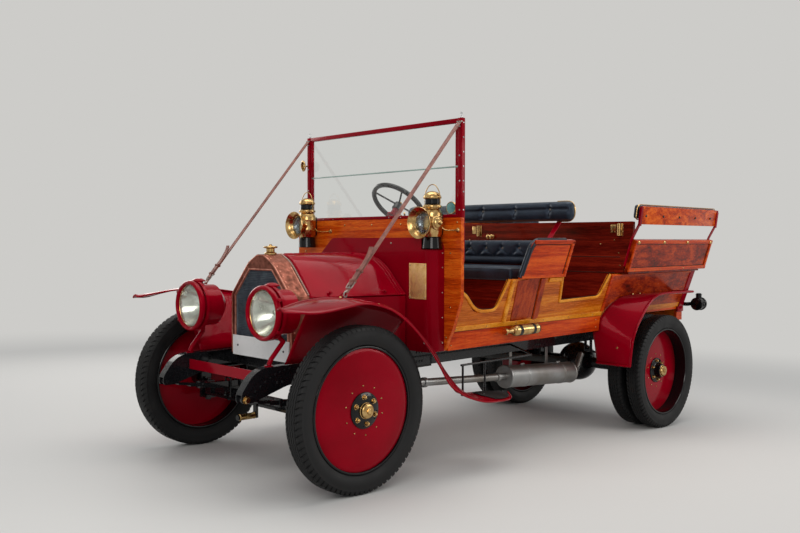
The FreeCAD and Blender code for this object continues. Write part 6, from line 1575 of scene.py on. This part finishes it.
def baked(case):
    """The object's mesh with all its modifiers applied and taken off."""
    solved = case.evaluated_get(bpy.context.evaluated_depsgraph_get())
    shaped = bpy.data.meshes.new_from_object(solved)
    case.modifiers.clear()
    case.data = shaped
    return shaped


blown_pressure, blown_frames, most_blown = 4.0, 20, 0.022


def stuffed(name, start, space, voxel, marks, inward, rests, node, corner, place=None,
            smooth=True):
    """A stuffed hide case: start and space are boxes it is blown up from and kept within.

    Marks are lines (from, to, depth, radius) that are drawn inward and held, and rests tells
    where it is held because it lies on something. Returns the piece and a search tree.
    """
    shape = bmesh.new()
    slab(shape, *start, corner)
    mesh = bpy.data.meshes.new(name)
    shape.to_mesh(mesh)
    shape.free()
    case = bpy.data.objects.new(name, mesh)
    scene.collection.objects.link(case)
    weave = case.modifiers.new("weave", "REMESH")
    weave.mode = "VOXEL"
    weave.voxel_size = voxel
    mesh = baked(case)
    inward = Vector(inward)
    marks = [(Vector(a), Vector(b), depth, radius) for a, b, depth, radius in marks]
    grip = []
    for corner_point in mesh.vertices:
        pulls = [(depth * exp(-(far / radius) ** 2), exp(-(far / radius / 0.7) ** 2))
                 for a, b, depth, radius in marks
                 for far in [to_line(corner_point.co, a, b)] if far < 3 * radius] or [(0.0, 0.0)]
        grip.append(1.0 if rests(corner_point.co) else max(pull[1] for pull in pulls))
        corner_point.co += inward * max(pull[0] for pull in pulls)
    before = [v.co.copy() for v in mesh.vertices]
    held = case.vertex_groups.new(name="held")
    for k, firm in enumerate(grip):
        held.add([k], firm, "REPLACE")
    stuffing = case.modifiers.new("stuffing", "CLOTH")
    stuffing.settings.vertex_group_mass = "held"
    stuffing.settings.use_pressure = True
    stuffing.settings.uniform_pressure_force = blown_pressure
    stuffing.settings.effector_weights.gravity = 0.0
    stuffing.point_cache.frame_end = blown_frames
    for step in range(1, blown_frames + 1):
        scene.frame_set(step)
    mesh = baked(case)
    case.vertex_groups.clear()
    for corner_point, was in zip(mesh.vertices, before):
        moved = corner_point.co - was
        corner_point.co = was + moved * min(1.0, most_blown / max(moved.length, 1e-9))
    scene.frame_set(1)
    low, high = space
    for corner_point in mesh.vertices:
        corner_point.co = Vector([min(max(c, l), h) for c, l, h in zip(corner_point.co, low, high)])
    if smooth:
        case.modifiers.new("rounds", "SUBSURF").levels = 1
        mesh = baked(case)
    if place:
        mesh.transform(place)
    search = BVHTree.FromPolygons([v.co for v in mesh.vertices],
                                  [p.vertices for p in mesh.polygons])
    mesh.shade_smooth()
    mesh.materials.clear()
    mesh.materials.append(hide)
    mesh.transform(rake)
    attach(case, "car")
    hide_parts(node)
    return case, search


def welt(shape, search, path):
    """Adds piping along a path that is snapped to a stuffed case."""
    radius, sink = 0.0032, 0.0005
    spots = []
    for spot in path:
        found, normal = search.find_nearest(Vector(spot))[:2]
        spots.append(found - normal * sink)
    rod(shape, spots, radius, 8)


def evenly(first, last):
    """Points along a straight line about 20 mm apart, with both of its ends."""
    pitch = 0.02
    first, last = Vector(first), Vector(last)
    count = max(1, round((last - first).length / pitch))
    return [first.lerp(last, k / count) for k in range(count + 1)]


def buttons(shape, search, places, towards):
    """Adds domed steel buttons where a line from outside first meets the case."""
    radius = 0.0075
    for spot in places:
        found = search.ray_cast(Vector(spot) + Vector(towards) * 0.1, -Vector(towards))[0]
        turned(shape, [(radius, -0.004), (radius, 0.002), (radius * 0.75, 0.0048), (0, 0.0062)],
               found, towards, 16)


# The driver's bench: a boxed cushion with a piped top edge.
low, high = (-1.6335, -0.6585, 0.9905), (-1.2640, 0.6585, 1.0745)
case, search = stuffed(
    "driver_cushion", ((-1.630, -0.655, 0.9905), (-1.268, 0.655, 1.064)), (low, high), 0.012, [],
    (0, 0, -1), lambda p: p.z < 1.0 or p.x > -1.269 and p.z > 1.045, "seat_cushions",
    smooth=False, corner=0.010)
shape = bmesh.new()
edge = [(-1.268, -0.650, 1.0635), (-1.268, 0.650, 1.0635), (-1.626, 0.650, 1.0635),
        (-1.626, -0.650, 1.0635)]
for a, b in zip(edge, edge[1:] + edge[:1]):
    welt(shape, search, evenly(a, b))
welt(shape, search, evenly((-1.268, -0.650, 0.9945), (-1.268, 0.650, 0.9945)))
make_piece("driver_cushion_piping", shape, hide)

# Its squab: a plain roll below one row of buttoned pillows, with slanting pleats.
face, seam_z, button_z, top_z = -1.652, 1.1255, 1.181, 1.231
button_ys = [0.1375 * k for k in range(-4, 5)]
marks = [((face, -0.65, seam_z), (face, 0.65, seam_z), 0.013, 0.010)]
for y in button_ys:
    marks += [((face, y, button_z), (face, y, button_z), 0.022, 0.015),
              ((face, y, button_z), (face, y, top_z), 0.006, 0.008)]
    marks += [((face, y, button_z), (face, y + side * 0.06875, seam_z), 0.009, 0.008)
              for side in (-1, 1)]
case, search = stuffed(
    "driver_squab", ((-1.7155, -0.655, 1.0775), (face, 0.655, 1.229)),
    ((-1.7163, -0.6585, 1.0765), (-1.6305, 0.6585, 1.2355)), 0.0085, marks, (-1, 0, 0),
    lambda p: p.x < -1.712, "seat_backs", corner=0.020)
shape = bmesh.new()
buttons(shape, search, [(-1.65, y, button_z) for y in button_ys], (1, 0, 0))
make_piece("driver_squab_buttons", shape, steel)

# The back roll: one long bolster with a seam through its buttons and a brass-bound end.
face, seam_z = -1.775, 1.431
button_ys = [0.28 * k for k in range(-2, 3)]
marks = [((face, -0.70, seam_z), (face, 0.70, seam_z), 0.010, 0.009)]
for y in button_ys:
    marks += [((face, y, seam_z), (face, y, seam_z), 0.028, 0.018),
              ((face, y - 0.004, seam_z - 0.045), (face, y + 0.003, seam_z + 0.036), 0.012, 0.010)]
case, search = stuffed(
    "back_roll", ((-1.852, -0.7335, 1.3535), (face, 0.7335, 1.4825)),
    ((-1.857, -0.735, 1.352), (-1.7655, 0.735, 1.484)), 0.0085, marks, (-1, 0, 0),
    lambda p: p.x < -1.846, "seat_backs", corner=0.038)
shape = bmesh.new()
buttons(shape, search, [(-1.77, y, seam_z) for y in button_ys], (1, 0, 0))
make_piece("back_roll_buttons", shape, steel)
shape = bmesh.new()
for sign in (1, -1):
    rod(shape, bent([(-1.824, sign * 0.60, 1.4825, 0), (-1.824, sign * 0.7325, 1.4825, 0.062),
                     (-1.824, sign * 0.7325, 1.3535, 0.062), (-1.824, sign * 0.60, 1.3535, 0)], 10),
        0.004, 8)
make_piece("back_roll_end_beads", shape, brass)

# The rear benches and the pads behind the upper rails, alike on both sides.
for side, sign in car_sides:
    ys = sorted((sign * 0.4115, sign * 0.6945))
    case, search = stuffed(
        side + "_bench_cushion", ((-3.444, ys[0] + 0.004, 1.0165), (-2.464, ys[1] - 0.004, 1.060)),
        ((-3.447, ys[0], 1.0165), (-2.461, ys[1], 1.0735)), 0.012, [], (0, 0, -1),
        lambda p: p.z < 1.022, "seat_cushions", smooth=False, corner=0.012)
    shape = bmesh.new()
    edge = [(-3.441, ys[0] + 0.006, 1.056), (-2.467, ys[0] + 0.006, 1.056),
            (-2.467, ys[1] - 0.006, 1.056), (-3.441, ys[1] - 0.006, 1.056)]
    for a, b in zip(edge, edge[1:] + edge[:1]):
        welt(shape, search, evenly(a, b))
    make_piece(side + "_bench_cushion_piping", shape, hide)
    along = Vector((1, 0, 0))
    lie = Matrix((along, rail_face, along.cross(rail_face))).transposed().to_4x4()
    lie.translation = rail_foot
    if sign < 0:
        lie = Matrix.Diagonal((1, -1, 1, 1)) @ lie
    marks = [((x, -0.056, 0.062), (x, -0.056, 0.062), 0.016, 0.016) for x in rail_bolt_xs]
    case, search = stuffed(
        side + "_rail_pad", ((-3.553, -0.058, 0.033), (-2.403, -0.0235, 0.1315)),
        ((-3.5555, -0.0640, 0.0305), (-2.4005, -0.0232, 0.1330)), 0.0085, marks, (0, 1, 0),
        lambda p: p.y > -0.026, "seat_backs", place=lie, corner=0.017)
    if sign < 0:
        case.data.flip_normals()
    shape = bmesh.new()
    rod(shape, [lie @ p for p in bent(
        [(-3.5535, -0.0265, 0.0300, 0), (-3.5535, -0.0265, 0.1315, 0.034),
         (-2.4025, -0.0265, 0.1315, 0.034), (-2.4025, -0.0265, 0.0300, 0.026),
         (-2.44, -0.0265, 0.0300, 0)], 8)], 0.0032, 8)
    make_piece(side + "_rail_pad_bead", shape, brass)

# The arm rolls: hide nailed over each arm panel's front and top edges with domed black nails.
# The padding under it is a rope of horsehair, 34 mm thick.
arm_nails = 34
for side, sign, mirror in drawn_sides:
    ring = bent([(*on_arm(arm_front, 0.004, -0.011), 0),
                 (*on_arm(-1.372, arm_slant - 0.007, -0.011), 0.064),
                 (*on_arm(-1.700, arm_slant - 0.007, -0.011), 0)], 10)
    ring = fair(ring, 2)
    shape = bmesh.new()
    rod(shape, mirror(ring), 0.0172, 16)
    make_piece(side + "_arm_roll", shape, trim_hide)
    shape = bmesh.new()
    middle = on_arm(-1.56, 0.10, -0.011)
    for k in range(arm_nails):
        spot = ring[min(len(ring) - 1, round((k + 0.5) * len(ring) / arm_nails))]
        spot = spot + (middle - spot).normalized() * 0.012 + arm_face * 0.0125
        rivets(shape, mirror([spot]), mirror([arm_face])[0], 0.0034, 8)
    make_piece(side + "_arm_nails", shape, chassis_black)

# ---- fire extinguisher -----------------------------------------------------------------
# A spun brass flask with a pump handle, held on the sill by two black spring clips.
# Each clip is a strap round the flask, screwed to the board through its foot.
low, high = body_box("fire_extinguisher")
axis_y, axis_z = high.y - 0.034, (low.z + high.z) / 2
shape = bmesh.new()
turned(shape, mm((0, 0), (19, 0), (22, 3), (22, 11), (17, 14), (12, 16), (12, 58), (17, 61),
                 (17, 73), (24, 76), (24, 84), (30, 89), (33.2, 98), (33.2, 300), (34, 302),
                 (34, 308), (33.2, 310), (31.8, 322), (26, 328), (0, 328)),
       (high.x, axis_y, axis_z), (-1, 0, 0), 36)
flask = make_piece("extinguisher_flask", shape, brass)
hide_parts("fire_extinguisher")
shape = bmesh.new()
for x in (-1.355, -1.485):
    turned(shape, mm((32.8, -13), (34.2, -13), (34.2, 13), (32.8, 13)), (x, axis_y, axis_z),
           (1, 0, 0), 36)
    slab(shape, (x - 0.014, low.y + 0.0003, axis_z - 0.015),
         (x + 0.014, axis_y - 0.026, axis_z + 0.015), 0.003)
make_piece("extinguisher_clips", shape, rim_black)

# ---- tail lamp -------------------------------------------------------------------------
# A black japanned oil lamp with a vented chimney and a red lens, on a flat iron stay.
# The drum is rolled tin with a swaged rim at each end; a small clear pane faces sideways.
red_lens = coach_enamel("ruby_lens", "#4A0006", "#6E0A10", 0.08, 1.0, soften=0.001)
drum = Vector((-3.570, 0.690, 0.735))
shape = bmesh.new()
turned(shape, mm((0, 1), (46, 1), (50.5, 4), (50.5, 12), (46.5, 15), (46.5, 60), (52, 63),
                 (52, 74), (49, 81), (42, 82.5), (40, 74)), drum, (-1, 0, 0), 40)
turned(shape, mm((22, 30), (22, 68), (25, 70), (25.5, 74), (18, 77), (18, 80), (24, 81.5),
                 (14, 84.5), (0, 85)), drum + Vector((-0.040, 0, 0)), (0, 0, 1), 28)
turned(shape, mm((20, 34), (20, 49), (14, 51), (13, 46)), drum + Vector((-0.038, 0, 0)), (0, 1, 0),
       28)
lamp = make_piece("tail_lamp_body", shape, rim_black)
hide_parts("tail_lamp")
shape = bmesh.new()
turned(shape, mm((41, 74), (33, 79.5), (17, 83.2), (0, 84)), drum, (-1, 0, 0), 40)
make_piece("tail_lamp_lens", shape, red_lens)
shape = bmesh.new()
turned(shape, mm((13.5, 46), (8, 48.5), (0, 49.5)), drum + Vector((-0.038, 0, 0)), (0, 1, 0), 24)
make_piece("tail_lamp_pane", shape, lamp_glass)
shape = bmesh.new()
slab(shape, (-3.574, 0.6405, 0.7205), (-3.5105, 0.6455, 0.7495), 0.0012)
slab(shape, (-3.5160, 0.6005, 0.7205), (-3.5108, 0.6455, 0.7495), 0.0012)
rivets(shape, [(-3.5160, y, 0.735) for y in (0.611, 0.628)], (-1, 0, 0), 0.0045)
make_piece("tail_lamp_stay", shape, chassis_black)

# ---- rear corner irons -----------------------------------------------------------------
# Crimson flat irons bind the lower body's rear corners, each bolted through a turned-out foot.
# They are 4 mm mild steel, painted with the body.
for side, sign, mirror in drawn_sides:
    face = mirror([proud])[0]
    shape = bmesh.new()
    batten(shape, mirror([on_side(-3.474, 0.002), on_side(-3.474, 0.3035)]), 0.068, 0.010, face)
    rivets(shape, mirror([on_side(-3.474, h, 0.009) for h in (0.05, 0.15, 0.25)]), face, 0.0055)
    ys = sorted((sign * (sill_high.y - 0.001), sign * (sill_high.y + 0.014)))
    slab(shape, (-3.509, ys[0], sill_high.z - 0.036), (-3.415, ys[1], sill_high.z + 0.004), 0.003)
    make_piece(side + "_corner_iron", shape, crimson)

# ---- bounds ----------------------------------------------------------------------------
low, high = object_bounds()
